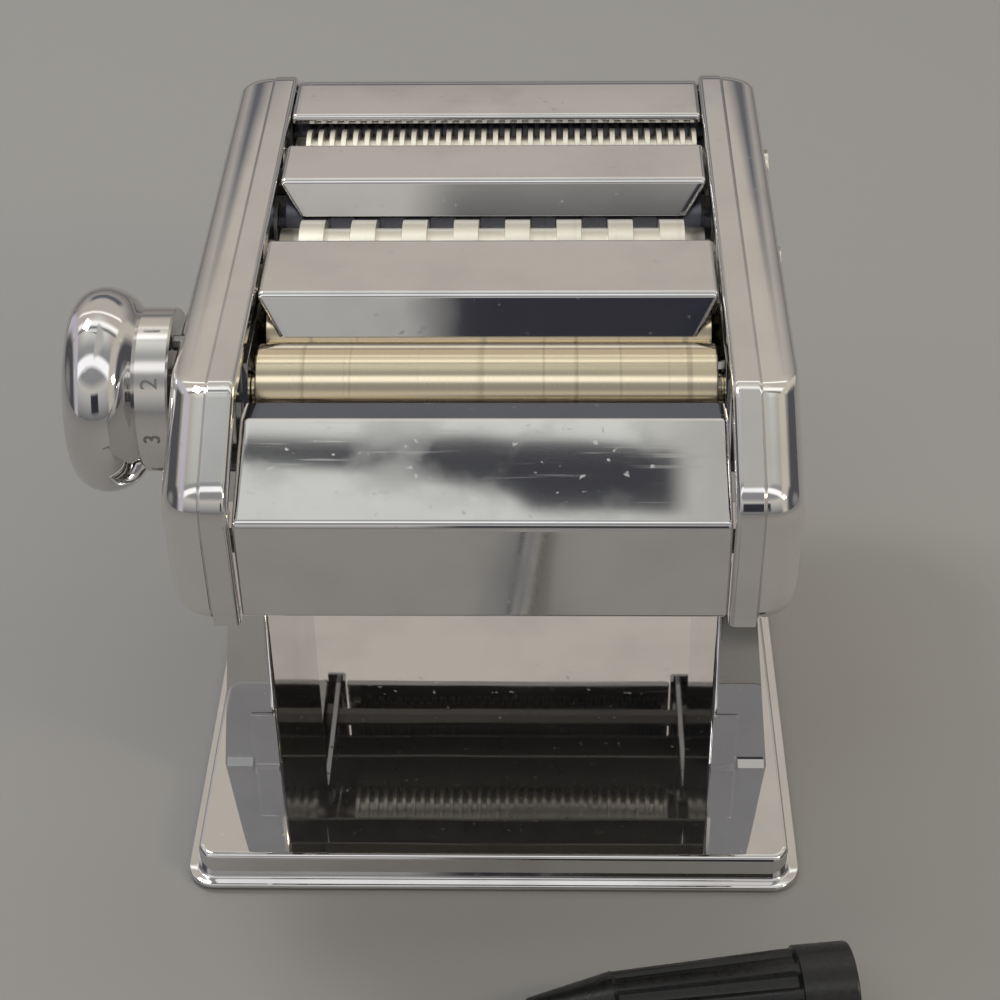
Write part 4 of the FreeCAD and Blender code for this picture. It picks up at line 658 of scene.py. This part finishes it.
def top_plate(name, front, back, run, drop):
    """Makes a plate, flat from front to back, whose front face runs forward as it drops."""
    low = PLATE_TOP - drop
    points = [(back, PLATE_TOP - BACK_LIP), (back, PLATE_TOP), (front, PLATE_TOP), (front - run, low)]

    def narrow(p):
        """Draws the lower part of the front face in at both ends."""
        share = max(0.0, min(1.0, (low + FACE_CUT_HEIGHT - p[1]) / FACE_CUT_HEIGHT))
        return FACE_CUT * share if p[0] < front else 0.0

    return folded_strip(name, points, PLATE_RADII, PLATE_HALF, narrow)


for name, node, front, back, run, drop in (
    ("plate_front", "front_top_plate", -25.8, 0.2, 4.8, 9.6),
    ("plate_middle", "middle_top_plate", 30.6, 50.5, 4.6, 8.5),
):
    dress(top_plate(name, front, back, run, drop), SHEET_CHROME, node)

# %% Rear panel
REAR_FRONT = 66.5
REAR_BACK = BODY_BACK - 1.0
REAR_LOW = 103.0
REAR_LIP = 2.4
REAR_HEM = 3.0
rear = folded_strip(
    "panel_rear",
    [
        (REAR_BACK - REAR_HEM, REAR_LOW),
        (REAR_BACK, REAR_LOW),
        (REAR_BACK, PLATE_TOP),
        (REAR_FRONT, PLATE_TOP),
        (REAR_FRONT, PLATE_TOP - REAR_LIP),
    ],
    [0.0, 1.2, 11.0, 1.6, 0.0],
    PANEL_HALF,
)
dress(rear, SHEET_CHROME, "rear_panel")

# %% [markdown]
# ## Base tray
# The tray is drawn from one sheet: a flat mirror on top, a rounded shoulder, a short wall, and a thin
# flange that stands on the feet. Seen from above it is a rounded square at every height, so we stack
# rounded squares. A square that is smaller by some millimetres has corners whose radius is smaller by as
# many. The hollow underneath is a second stack, and both are closed with a flat cap and joined at the rim.

# %% Stack rounded squares
TRAY_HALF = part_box("base_tray")[1].x / MM
TRAY_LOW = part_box("base_tray")[0].z / MM
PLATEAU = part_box("base_tray")[1].z / MM
TRAY_CORNER = 8.0
TRAY_SHEET = 1.0
SHOULDER = 1.6
SHOULDER_STEPS = 8
WALL_INSET = 3.2
FLAT_INSET = 6.0
TRAY_SMOOTH = 50.0
# Distance in from the tray's edge, height over its lowest point
RIM_PROFILE = (
    (0.5, 0.0), (0.1, 0.2), (0.0, 0.6), (0.1, 1.1), (0.5, 1.4),
    (2.2, 1.5), (2.8, 1.7), (3.05, 2.3), (3.15, 4.5),
)


def rounded_square(half, z):
    """Gives a square with rounded corners, half its width from the middle, at a height."""
    corner = max(1.0, TRAY_CORNER - (TRAY_HALF - half))
    square = [(-half, -half), (half, -half), (half, half), (-half, half)]
    return [(x, y, z) for x, y in draw_path(square, [corner] * 4, closed=True)]


def tray_outside(wall):
    """Lists half width and height from the rim up the wall and over the shoulder."""
    profile = [(TRAY_HALF - inset, TRAY_LOW + height) for inset, height in RIM_PROFILE]
    for i in range(SHOULDER_STEPS + 1):
        angle = math.pi / 2 * i / SHOULDER_STEPS
        half = wall - SHOULDER * (1 - math.cos(angle))
        profile.append((half, PLATEAU - SHOULDER * (1 - math.sin(angle))))
    profile.append((wall - SHOULDER - FLAT_INSET, PLATEAU))
    return profile


def tray_inside(wall):
    """Lists half width and height from under the plateau down to the rim."""
    under = PLATEAU - TRAY_SHEET
    profile = [(wall - SHOULDER - FLAT_INSET, under), (wall - SHOULDER, under), (wall - 1.0, under - 0.6)]
    profile += [(wall - 0.9, TRAY_LOW + 1.0), (TRAY_HALF - 3.6, TRAY_LOW + 0.1), (TRAY_HALF - 3.0, TRAY_LOW)]
    return profile


def base_tray():
    wall = TRAY_HALF - WALL_INSET
    outside = [rounded_square(half, z) for half, z in tray_outside(wall)]
    inside = [rounded_square(half, z) for half, z in tray_inside(wall)]
    size = len(outside[0])
    points = [p for ring in outside + inside for p in ring]
    top = (len(outside) - 1) * size
    under = top + size
    last = under + (len(inside) - 1) * size
    faces = [tuple(range(top, under)), tuple(range(under, under + size))]
    for low in [*range(0, top, size), *range(under, last, size)]:
        faces += band(low, low + size, size)
    faces += band(last, 0, size)
    return smooth(new_object("tray", points, faces), limit=TRAY_SMOOTH)


dress(base_tray(), TRAY_CHROME, "base_tray")

# %% [markdown]
# ## Rollers and cutters
# A roller is a turned part, so it is one profile spun about its axis. The smooth rollers are plain barrels.
# Each cutter is a row of discs with square edges, and the discs of a pair interleave like the fingers of
# two hands: where one roller has a disc, the other has a groove. The profile of a cutter is therefore a loop
# over its discs.

# %% Spin a profile
def spun(name, profile, y, z, steps=96, limit=35.0):
    """Spins a profile of (x, radius) about the axis along X."""
    rings = [circle(radius, x, y, z, steps) for x, radius in profile]
    return smooth(ring_solid(name, rings), limit=limit)


HALF_ROLLER = 55.0
JOURNAL = 4.5
DRIVEN = 6.0
LEFT_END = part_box("wide_cutter_front")[0].x / MM
GEAR_SEAT = 62.9
GEAR_END = 67.9
GEAR_JOURNAL = JOURNAL * 0.87
SOCKET_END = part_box("smooth_roller_rear")[1].x / MM
SLEEVE = 5.15
SOCKET_BORE = 4.05
SOCKET_DEPTH = 14.0
CROSS_SLOT = 2.2
CROSS_SLOT_DEPTH = 6.0
CROSS_SLOT_REACH = 9.0
EASE = 0.3


def shaft_ends(left, driven):
    """Gives the profile of a roller's left journal and of its right end."""
    start = [(left, JOURNAL - EASE), (left + EASE, JOURNAL), (-HALF_ROLLER, JOURNAL)]
    if driven:
        end = [(HALF_ROLLER, DRIVEN), (GEAR_SEAT, DRIVEN), (GEAR_SEAT, SLEEVE)]
        end += [(SOCKET_END - EASE, SLEEVE), (SOCKET_END, SLEEVE - EASE)]
        end += [(SOCKET_END, SOCKET_BORE + EASE), (SOCKET_END - EASE, SOCKET_BORE)]
        end.append((SOCKET_END - SOCKET_DEPTH, SOCKET_BORE))
    else:
        end = [(HALF_ROLLER, JOURNAL), (GEAR_SEAT, JOURNAL)]
        end += [(GEAR_SEAT, GEAR_JOURNAL), (GEAR_END, GEAR_JOURNAL)]
    return start, end


def slot_across(piece, y, z):
    """Cuts the cross slot that takes the crank's pin."""
    half = CROSS_SLOT / 2
    reach = CROSS_SLOT_REACH
    corners = [(y - half, z - reach), (y + half, z - reach), (y + half, z + reach), (y - half, z + reach)]
    ends = (SOCKET_END - CROSS_SLOT_DEPTH, SOCKET_END + 1.0)
    return carve(piece, ring_solid("slot", [[(x, *corner) for corner in corners] for x in ends]))


def roller(name, node, body_profile, left, driven, material):
    """Spins a roller on its node's axis, cuts its crank slot if it is driven, and dresses it."""
    y, z = axis_of(node)
    start, end = shaft_ends(left, driven)
    piece = spun(name, start + body_profile + end, y, z)
    if driven:
        smooth(slot_across(piece, y, z))
    return dress(piece, material, node)


# %% Smooth rollers
SMOOTH_RADIUS = 12.0
barrel = [
    (-HALF_ROLLER, SMOOTH_RADIUS - EASE),
    (-HALF_ROLLER + EASE, SMOOTH_RADIUS),
    (HALF_ROLLER - EASE, SMOOTH_RADIUS),
    (HALF_ROLLER, SMOOTH_RADIUS - EASE),
]
CARRIAGE_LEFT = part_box("smooth_roller_front")[0].x / MM
roller("roller_front", "smooth_roller_front", barrel, CARRIAGE_LEFT, False, ROLLER_STEEL)
roller("roller_rear", "smooth_roller_rear", barrel, LEFT_END, True, ROLLER_STEEL)


# %% Cutter discs
CUT_DEPTH = 2.0
GROOVE_GAP = 0.15
SIDE_GAP = 0.08
TOOTH_EDGE = 0.08


def disc_profile(radius, pitch, first):
    """Gives a cutter's profile: discs half a pitch wide, and grooves that clear the other's discs."""
    groove = radius - CUT_DEPTH - GROOVE_GAP
    half = pitch / 4 - SIDE_GAP
    profile = []
    centre = first
    while centre - half < HALF_ROLLER:
        left = max(centre - half, -HALF_ROLLER)
        far = min(centre + half, HALF_ROLLER)
        if left > -HALF_ROLLER:
            profile.append((left, groove))
        profile += [(left, radius - TOOTH_EDGE), (left + TOOTH_EDGE, radius)]
        profile += [(far - TOOTH_EDGE, radius), (far, radius - TOOTH_EDGE)]
        if far < HALF_ROLLER:
            profile.append((far, groove))
        centre += pitch
    if profile[0][1] == groove:
        profile.insert(0, (-HALF_ROLLER, groove))
    if profile[-1][1] == groove:
        profile.append((HALF_ROLLER, groove))
    return profile


# %% Wide and fine cutters
WIDE_RADIUS = 12.0
WIDE_PITCH = 13.3
FINE_RADIUS = 11.0
FINE_PITCH = 3.2
# The rear cutters' dark steel is painted shade for the shade under the plates.
# Node, radius, pitch, first disc in pitches from the middle, driven by the crank, steel
CUTTERS = (
    ("wide_cutter_front", WIDE_RADIUS, WIDE_PITCH, -3.5, True, CUTTER_STEEL),
    ("wide_cutter_rear", WIDE_RADIUS, WIDE_PITCH, -4.0, False, PAINTED_SHADE_STEEL),
    ("fine_cutter_front", FINE_RADIUS, FINE_PITCH, -16.0, True, CUTTER_STEEL),
    ("fine_cutter_rear", FINE_RADIUS, FINE_PITCH, -16.5, False, PAINTED_SHADE_STEEL),
)
for node, radius, pitch, first, driven, steel in CUTTERS:
    discs = disc_profile(radius, pitch, first * pitch)
    name = node.replace("cutter", "discs")
    roller(name, node, discs, LEFT_END, driven, steel)

# %% [markdown]
# ## The thickness knob
# A satin ring with plain numbers, and a chromed grip that flares away from the body. Both are turned parts.
# The numbers stand on the ring with their heads to the left, so they are drawn flat, and then
# wrapped round the cylinder: the distance along the line of writing becomes an angle. Blender's text object
# draws them, and its mesh is cut finely first, or the long strokes would stay straight.

# %% Number ring
KNOB_Y, KNOB_Z = axis_of("number_ring")
RING_LOW, RING_HIGH = (v.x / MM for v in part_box("number_ring"))
RING_RADIUS = (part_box("number_ring")[1].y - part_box("number_ring")[0].y) / MM / 2
GRIP_LOW, GRIP_HIGH = (v.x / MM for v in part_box("knob_grip"))
GRIP_RADIUS = (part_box("knob_grip")[1].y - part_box("knob_grip")[0].y) / MM / 2
RING_EASE = 0.5
ring_profile = [
    (RING_LOW, RING_RADIUS - RING_EASE),
    (RING_LOW + RING_EASE, RING_RADIUS),
    (RING_HIGH - RING_EASE, RING_RADIUS),
    (RING_HIGH, RING_RADIUS - RING_EASE),
]
ring = spun("knob_ring", ring_profile, KNOB_Y, KNOB_Z, steps=128)
dress(ring, RING_SATIN, "number_ring")

# %% Flared grip
GRIP_DISH = ((1.6, 0.6), (1.5, 8.0), (0.9, 15.0), (0.2, 18.6))
GRIP_FLARE = ((0.0, 19.4), (0.9, 20.3), (1.8, 21.7), (3.4, 23.1), (5.4, 24.1), (7.4, 24.8), (9.5, 25.0))
GRIP_END = ((11.6, 24.7), (13.2, 24.1), (14.6, 23.2), (15.7, 22.1), (16.3, 21.0), (16.6, 19.8))


def grip_profile():
    """Gives the grip's outline from its dished face, round its edge and down the flare to its neck."""
    out = [(GRIP_HIGH - along, radius) for along, radius in GRIP_FLARE + GRIP_END]
    face = [(GRIP_LOW + along, radius) for along, radius in GRIP_DISH]
    return face + out[::-1]


grip = spun("knob_flare", grip_profile(), KNOB_Y, KNOB_Z, steps=128, limit=40.0)
dress(grip, KNOB_CHROME, "knob_grip")

# %% Numbers round the ring
DIGIT_SIZE = 5.6
DIGIT_PROUD = 0.14
DIGIT_DEPTH = 0.3
DIGIT_BEVEL = 0.05
LONGEST_STROKE = 0.8
SETTINGS = 8
SETTING_STEP = math.radians(40.0)
PIN_Y, PIN_Z = axis_of("locating_pin")
FIRST_ANGLE = math.atan2(PIN_Z - KNOB_Z, PIN_Y - KNOB_Y)


def wrapped_digit(text, angle):
    """Draws a digit, cuts it finely, and wraps it round the ring at an angle."""
    curve = bpy.data.curves.new("digit", "FONT")
    curve.body = text
    curve.size = DIGIT_SIZE
    curve.align_x = "CENTER"
    curve.align_y = "CENTER"
    curve.extrude = DIGIT_DEPTH
    curve.bevel_depth = DIGIT_BEVEL
    flat = bpy.data.objects.new("digit", curve)
    mesh = bpy.data.meshes.new_from_object(flat)
    work = bmesh.new()
    work.from_mesh(mesh)
    long_edges = [e for e in work.edges if e.calc_length() > LONGEST_STROKE]
    bmesh.ops.subdivide_edges(work, edges=long_edges, cuts=2)
    centre_x = (RING_LOW + RING_HIGH) / 2
    top = max(v.co.z for v in work.verts)
    for vert in work.verts:
        around = angle - vert.co.x / RING_RADIUS
        radius = RING_RADIUS + DIGIT_PROUD + vert.co.z - top
        y = KNOB_Y + radius * math.cos(around)
        z = KNOB_Z + radius * math.sin(around)
        vert.co = Vector((centre_x - vert.co.y, y, z)) * MM
    work.to_mesh(mesh)
    work.free()
    bpy.data.objects.remove(flat)
    made = bpy.data.objects.new("digit_" + text, mesh)
    scene.collection.objects.link(made)
    made.data.materials.append(DIGIT_STEEL)
    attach(made, "knob")
    return made


for i in range(SETTINGS):
    wrapped_digit(str(i + 1), FIRST_ANGLE + i * SETTING_STEP)
print("numbers:", SETTINGS)

# %% [markdown]
# ## The crank
# The crank lies in front, as it was put down: its arm and its grip touch the table. It is drawn flat, with
# the grip's axis along X, and one function then tilts it, turns it and puts it in its place.
# The rod is a circle carried along a bent line. The grip is a row of rings again, and its flutes are
# a second radius that the rings dip to ten times on their way round.

# %% Lay the crank on the table
CRANK_END = (88.7, -123.2)
CRANK_TURN = math.radians(6.84)
CRANK_THROW = 100.0
CRANK_REACH = 50.0
CRANK_BEND = 8.0
CRANK_LEAD = 1.0
CRANK_RADIUS = 4.0
CRANK_GRIP = 80.0
CRANK_GRIP_RADIUS = 12.0
CRANK_DIP = math.asin((CRANK_GRIP_RADIUS - CRANK_RADIUS) / CRANK_THROW)


def lay_crank(rings):
    """Tilts and turns rings drawn flat along X, and puts them in front of the machine."""
    tilt = Matrix.Rotation(CRANK_TURN, 3, "Z") @ Matrix.Rotation(CRANK_DIP, 3, "X")
    length = Vector((math.cos(CRANK_TURN), math.sin(CRANK_TURN), 0.0)) * CRANK_GRIP
    start = Vector((*CRANK_END, CRANK_GRIP_RADIUS)) - length
    return [[tuple(tilt @ Vector(p) + start) for p in ring] for ring in rings]


# %% Crank rod
BEND_STEPS = 12
ROD_EASE = 0.6


def bend(centre, first, last):
    """Gives the points of a bend about a centre, between two angles in degrees."""
    points = []
    for i in range(BEND_STEPS + 1):
        turn = math.radians(first + (last - first) * i / BEND_STEPS)
        across = Vector((math.cos(turn), math.sin(turn), 0.0)) * CRANK_BEND
        points.append(Vector((*centre, 0.0)) + across)
    return points


def bar_rings(path, radii, sides=32):
    """Gives a circle square to the path at each of its points."""
    rings = []
    for i, point in enumerate(path):
        along = (path[min(i + 1, len(path) - 1)] - path[max(i - 1, 0)]).normalized()
        across = Vector((-along.y, along.x, 0.0))
        ring = []
        for j in range(sides):
            turn = 2 * math.pi * (j + 0.5) / sides
            height = Vector((0, 0, radii[i] * math.sin(turn)))
            ring.append(point + across * (radii[i] * math.cos(turn)) + height)
        rings.append(ring)
    return rings


arm_y = -CRANK_THROW
tip_x = -CRANK_LEAD - CRANK_BEND - CRANK_REACH
path = [Vector((tip_x, arm_y, 0.0)), Vector((tip_x + ROD_EASE, arm_y, 0.0))]
path += bend((-CRANK_LEAD - 2 * CRANK_BEND, arm_y + CRANK_BEND), -90, 0)
path += bend((-CRANK_LEAD, -CRANK_BEND), 180, 90)
radii = [CRANK_RADIUS - ROD_EASE] + [CRANK_RADIUS] * (len(path) - 1)
rod = smooth(ring_solid("crank_bar", lay_crank(bar_rings(path, radii))), limit=30.0)
dress(rod, CRANK_STEEL, "crank_rod")


# %% Crank pin
PIN_INSET = 3.0
PIN_RADIUS = 1.0
PIN_SIDES = 24


def pin_ring(x, y):
    """Gives a circle about an axis along Y."""
    turns = [2 * math.pi * j / PIN_SIDES for j in range(PIN_SIDES)]
    return [(x + PIN_RADIUS * math.cos(turn), y, PIN_RADIUS * math.sin(turn)) for turn in turns]


pin_ends = [pin_ring(tip_x + PIN_INSET, arm_y + reach) for reach in (-SLEEVE, SLEEVE)]
pin = ring_solid("crank_cross_pin", lay_crank(pin_ends))
dress(smooth(pin), CRANK_STEEL, "crank_pin")

# %% Crank grip
FLUTES = 10
FLUTE_LAND = 0.25
FLUTE_SLOPE = 0.35
HANDLE_SMOOTH = 28.0
# Place along the grip, radius, depth of the flutes
GRIP_STATIONS = (
    (0.5, 4.5, 0.0), (0.9, 4.9, 0.0), (21.0, 9.4, 0.0), (21.3, 9.6, 0.0), (22.4, 9.6, 1.0),
    (64.0, 11.5, 1.0), (65.6, 11.5, 1.0), (66.3, 11.6, 0.0), (66.5, 12.0, 0.0), (79.2, 12.0, 0.0),
    (79.8, 11.7, 0.0), (80.0, 11.2, 0.0), (80.0, 5.4, 0.0), (76.4, 5.2, 0.0), (76.0, 3.1, 0.0),
)


def fluted_ring(x, radius, depth, sides=200):
    """Gives a ring that dips by depth in each flute, with a flat land between the flutes."""
    ring = []
    for j in range(sides):
        turn = 2 * math.pi * j / sides
        wave = 0.5 + 0.5 * math.cos(FLUTES * turn)
        dip = depth * max(0.0, min(1.0, (wave - FLUTE_LAND) / FLUTE_SLOPE))
        ring.append((x, (radius - dip) * math.cos(turn), (radius - dip) * math.sin(turn)))
    return ring


handle = ring_solid("crank_handle", lay_crank([fluted_ring(*station) for station in GRIP_STATIONS]))
dress(smooth(handle, limit=HANDLE_SMOOTH), GRIP_PLASTIC, "crank_grip")

# %% [markdown]
# ## Pieces that keep their shape
# Frames, clips, cheeks, combs, gears and rods have the right form in the frame already. They only
# need a finish, and the sharp edges of cut sheet want a hair of rounding to catch the light. A bevel
# modifier gives that without touching the mesh itself, after a weld has joined its loose triangles.

# %% Finish the remaining nodes
NODE_WELD = 0.002 * MM
NODE_EDGE = 0.15 * MM
NODE_SHARP = math.radians(40.0)
KEPT = {name: GEAR_STEEL for name in nodes if "gear" in name}
for name in ("side_frame_left", "side_frame_right", "leg_clips", "roller_cheeks"):
    KEPT[name] = SHEET_CHROME
KEPT["rubber_feet"] = FOOT_RUBBER
KEPT["roller_bushes"] = BUSH_PLASTIC
# Nodes not listed here get the dark inner steel, whose darkness is partly painted shade.
for name, node in nodes.items():
    if node.hide_render:
        continue
    node.data.materials.clear()
    node.data.materials.append(KEPT.get(name, INNER_STEEL_AND_SHADE))
    weld = node.modifiers.new("weld", "WELD")
    weld.merge_threshold = NODE_WELD
    bevel = node.modifiers.new("edge", "BEVEL")
    bevel.width = NODE_EDGE
    bevel.segments = 2
    bevel.limit_method = "ANGLE"
    bevel.angle_limit = NODE_SHARP
    bevel.harden_normals = True
print("kept nodes:", sum(not node.hide_render for node in nodes.values()))

# %% [markdown]
# ## Floor and light
# Chrome shows its surroundings, so the light is built as surroundings: a pale floor, a world that is light
# behind and above and darker in front, long ceiling lights, and strips of colour at the sides. Dark
# shapes in front belong to it too: mirrored in the sloping faces, they give the chrome its depth.

# %% Floor
FLOOR_COLOUR = (0.40, 0.395, 0.39)
FLOOR_ROUGHNESS = 0.85
FLOOR_HALF = 12.0
floor_mesh = bpy.data.meshes.new("floor")
corners = [(x * FLOOR_HALF, y * FLOOR_HALF, 0.0) for x, y in ((-1, -1), (1, -1), (1, 1), (-1, 1))]
floor_mesh.from_pydata(corners, [], [(0, 1, 2, 3)])
floor = bpy.data.objects.new("floor", floor_mesh)
scene.collection.objects.link(floor)
floor.data.materials.append(new_material("floor", FLOOR_COLOUR, 0.0, FLOOR_ROUGHNESS)[0])
print("floor:", 2 * FLOOR_HALF, "m wide")

# %% [markdown]
# A world shader can be painted like a picture of the room: it is asked for a colour once for each
# direction. Its Generated coordinates are that direction, so X says how far to the side it points, Y how
# far back, and Z how high. Every flat face of the machine mirrors one small range of directions. That is
# why a soft band at the right height brightens one face and leaves the next one dark.

# %% Sky by direction
world = bpy.data.worlds.new("studio")
scene.world = world
world.use_nodes = True
tree = world.node_tree
background = tree.nodes["Background"]
direction = tree.nodes.new("ShaderNodeTexCoord").outputs["Generated"]
axes = tree.nodes.new("ShaderNodeSeparateXYZ")
tree.links.new(direction, axes.inputs["Vector"])
side, depth, height = axes.outputs["X"], axes.outputs["Y"], axes.outputs["Z"]


def sky(colours):
    """Makes a band of colours from the horizon to straight up."""
    ramp = tree.nodes.new("ShaderNodeValToRGB")
    tree.links.new(height, ramp.inputs["Fac"])
    elements = ramp.color_ramp.elements
    while len(elements) < len(colours):
        elements.new(0.5)
    for element, (position, colour) in zip(elements, colours):
        element.position = position
        element.color = (*colour, 1.0)
    return ramp.outputs["Color"]


def blend(mask, without, within):
    """Mixes two colours, given as outputs or values, by a mask from 0 to 1."""
    node = tree.nodes.new("ShaderNodeMix")
    node.data_type = "RGBA"
    tree.links.new(mask, node.inputs["Factor"])
    for colour, socket in ((without, node.inputs[6]), (within, node.inputs[7])):
        if isinstance(colour, tuple):
            socket.default_value = (*colour, 1.0)
        else:
            tree.links.new(colour, socket)
    return node.outputs[2]


# %% Walls and ceiling
WARM_WALL = (0.57, 0.52, 0.46)
PALE_CEILING = (0.86, 0.88, 0.83)
behind = sky([
    (0.0, (0.16, 0.15, 0.15)),
    (0.35, (0.46, 0.43, 0.40)),
    (0.50, WARM_WALL),
    (0.80, WARM_WALL),
    (0.93, PALE_CEILING),
])
front = sky([
    (0.0, (0.17, 0.17, 0.175)),
    (0.30, (0.44, 0.44, 0.43)),
    (0.53, (0.62, 0.60, 0.55)),
    (0.66, (0.29, 0.29, 0.30)),
    (0.95, (0.34, 0.35, 0.35)),
])
room = blend(spread(tree, depth, -0.15, 0.20, 0.0, 1.0), front, behind)


def between(value, low, high, soft):
    """Makes a mask that is 1 between two limits and fades out over a soft edge."""
    begin = spread(tree, value, low - soft, low + soft, 0.0, 1.0)
    end = spread(tree, value, high - soft, high + soft, 1.0, 0.0)
    return combine(tree, begin, end, "MULTIPLY")


def patch(colours, colour, *limits):
    """Paints a colour over others where every value lies within its limits and soft edge."""
    mask = between(*limits[0])
    for limit in limits[1:]:
        mask = combine(tree, mask, between(*limit), "MULTIPLY")
    return blend(mask, colours, colour)


# %% Ceiling lights and side strips
CEILING = (height, 0.5, 1.1, 0.05)
LIGHT_FAR = (1.4, 1.4, 1.32)
LIGHT_NEAR = (1.35, 1.35, 1.28)
LIGHT_FRONT = (1.3, 1.3, 1.3)
GAP = (0.20, 0.20, 0.21)
LOW_GAP = (0.115, 0.12, 0.14)
LILAC = (0.56, 0.53, 0.60)
AMBER = (0.60, 0.56, 0.48)
SIDE_GAP_DARK = (0.07, 0.07, 0.08)
room = patch(room, LIGHT_FAR, (depth, 0.60, 0.64, 0.015), CEILING)
room = patch(room, LIGHT_NEAR, (depth, 0.33, 0.42, 0.035), CEILING)
room = patch(room, GAP, (depth, 0.24, 0.30, 0.02), CEILING)

# A dark gap low behind the machine shows in the lip of the front panel
room = patch(room, LOW_GAP, (side, -0.34, 0.34, 0.05), (height, 0.28, 0.42, 0.03), (depth, 0.3, 2.0, 0.1))
room = patch(room, LIGHT_FRONT, (depth, -0.52, -0.30, 0.04), CEILING)

# Tall strips stand at both sides: a tinted one, and a dark gap outside it
room = patch(room, LILAC, (side, -0.80, -0.66, 0.03))
room = patch(room, SIDE_GAP_DARK, (side, -0.97, -0.84, 0.03))
room = patch(room, AMBER, (side, 0.66, 0.80, 0.03))
room = patch(room, SIDE_GAP_DARK, (side, 0.84, 0.97, 0.03))

# %% [markdown]
# The dark shapes in front come last. The tall one shows in the faces of the top plates. The other one lies
# nearly overhead, where the sloping panel looks, and there a change of a few degrees spans the whole
# panel. So its height on the panel gets a scale of its own, the rise: about 0 at the panel's lower fold and
# about 1 at its upper one. A power of the rise rounds its left side, and a straight cut leans the right.

# %% Dark shapes in front
DARK_FRONT = (0.018, 0.020, 0.032)
PALE_RIGHT = (0.54, 0.53, 0.49)
OVERHEAD = (height, 0.9, 1.1, 0.02)
RISE_START = 0.118
RISE_SCALE = 20.0
ROUND_START = 0.2
ROUND_POWER = 2.5
ROUND_REACH = 0.90
LEAN_START = 0.75


def past(value, start):
    """Gives how far a value is past a start, and 0 before it."""
    return combine(tree, combine(tree, value, -start), 0.0, "MAXIMUM")


low_front = [(height, 0.12, 0.47, 0.03), (depth, -2.0, -0.30, 0.05)]
room = patch(room, DARK_FRONT, (side, -0.055, 0.30, 0.012), *low_front)
room = patch(room, PALE_RIGHT, (side, 0.05, 0.40, 0.02), (height, 0.93, 1.1, 0.02))
rise = combine(tree, combine(tree, depth, -RISE_START), RISE_SCALE, "MULTIPLY")
curve = combine(tree, past(rise, ROUND_START), ROUND_POWER, "POWER")
left_edge = (combine(tree, side, combine(tree, curve, ROUND_REACH, "MULTIPLY")), -0.012, 1.0, 0.004)
right_edge = (combine(tree, side, past(rise, LEAN_START)), -0.4, 0.056, 0.006)
room = patch(room, DARK_FRONT, left_edge, right_edge, (rise, 0.22, 0.86, 0.02), OVERHEAD)
room = patch(room, DARK_FRONT, (side, -0.20, -0.03, 0.01), (rise, 0.72, 0.86, 0.02), OVERHEAD)
tree.links.new(room, background.inputs["Color"])
background.inputs["Strength"].default_value = 1.0
print("nodes in the world:", len(tree.nodes))


# %% Lamps
def soft_light(name, place, target, size, power, colour):
    """Hangs a square lamp that looks at a target, all in metres and watts."""
    data = bpy.data.lights.new(name, "AREA")
    data.size = size
    data.energy = power
    data.color = colour
    lamp = bpy.data.objects.new(name, data)
    scene.collection.objects.link(lamp)
    lamp.location = place
    lamp.rotation_mode = "QUATERNION"
    lamp.rotation_quaternion = (Vector(target) - Vector(place)).to_track_quat("-Z", "Y")


soft_light("key", (-0.50, 0.35, 1.10), (0.0, 0.0, 0.1), 0.24, 2.4, (1.0, 1.0, 0.97))
soft_light("warm", (0.70, -0.45, 0.60), (0.0, 0.0, 0.12), 0.12, 1.0, (1.0, 0.82, 0.5))
print("lights:", len(bpy.data.lights))
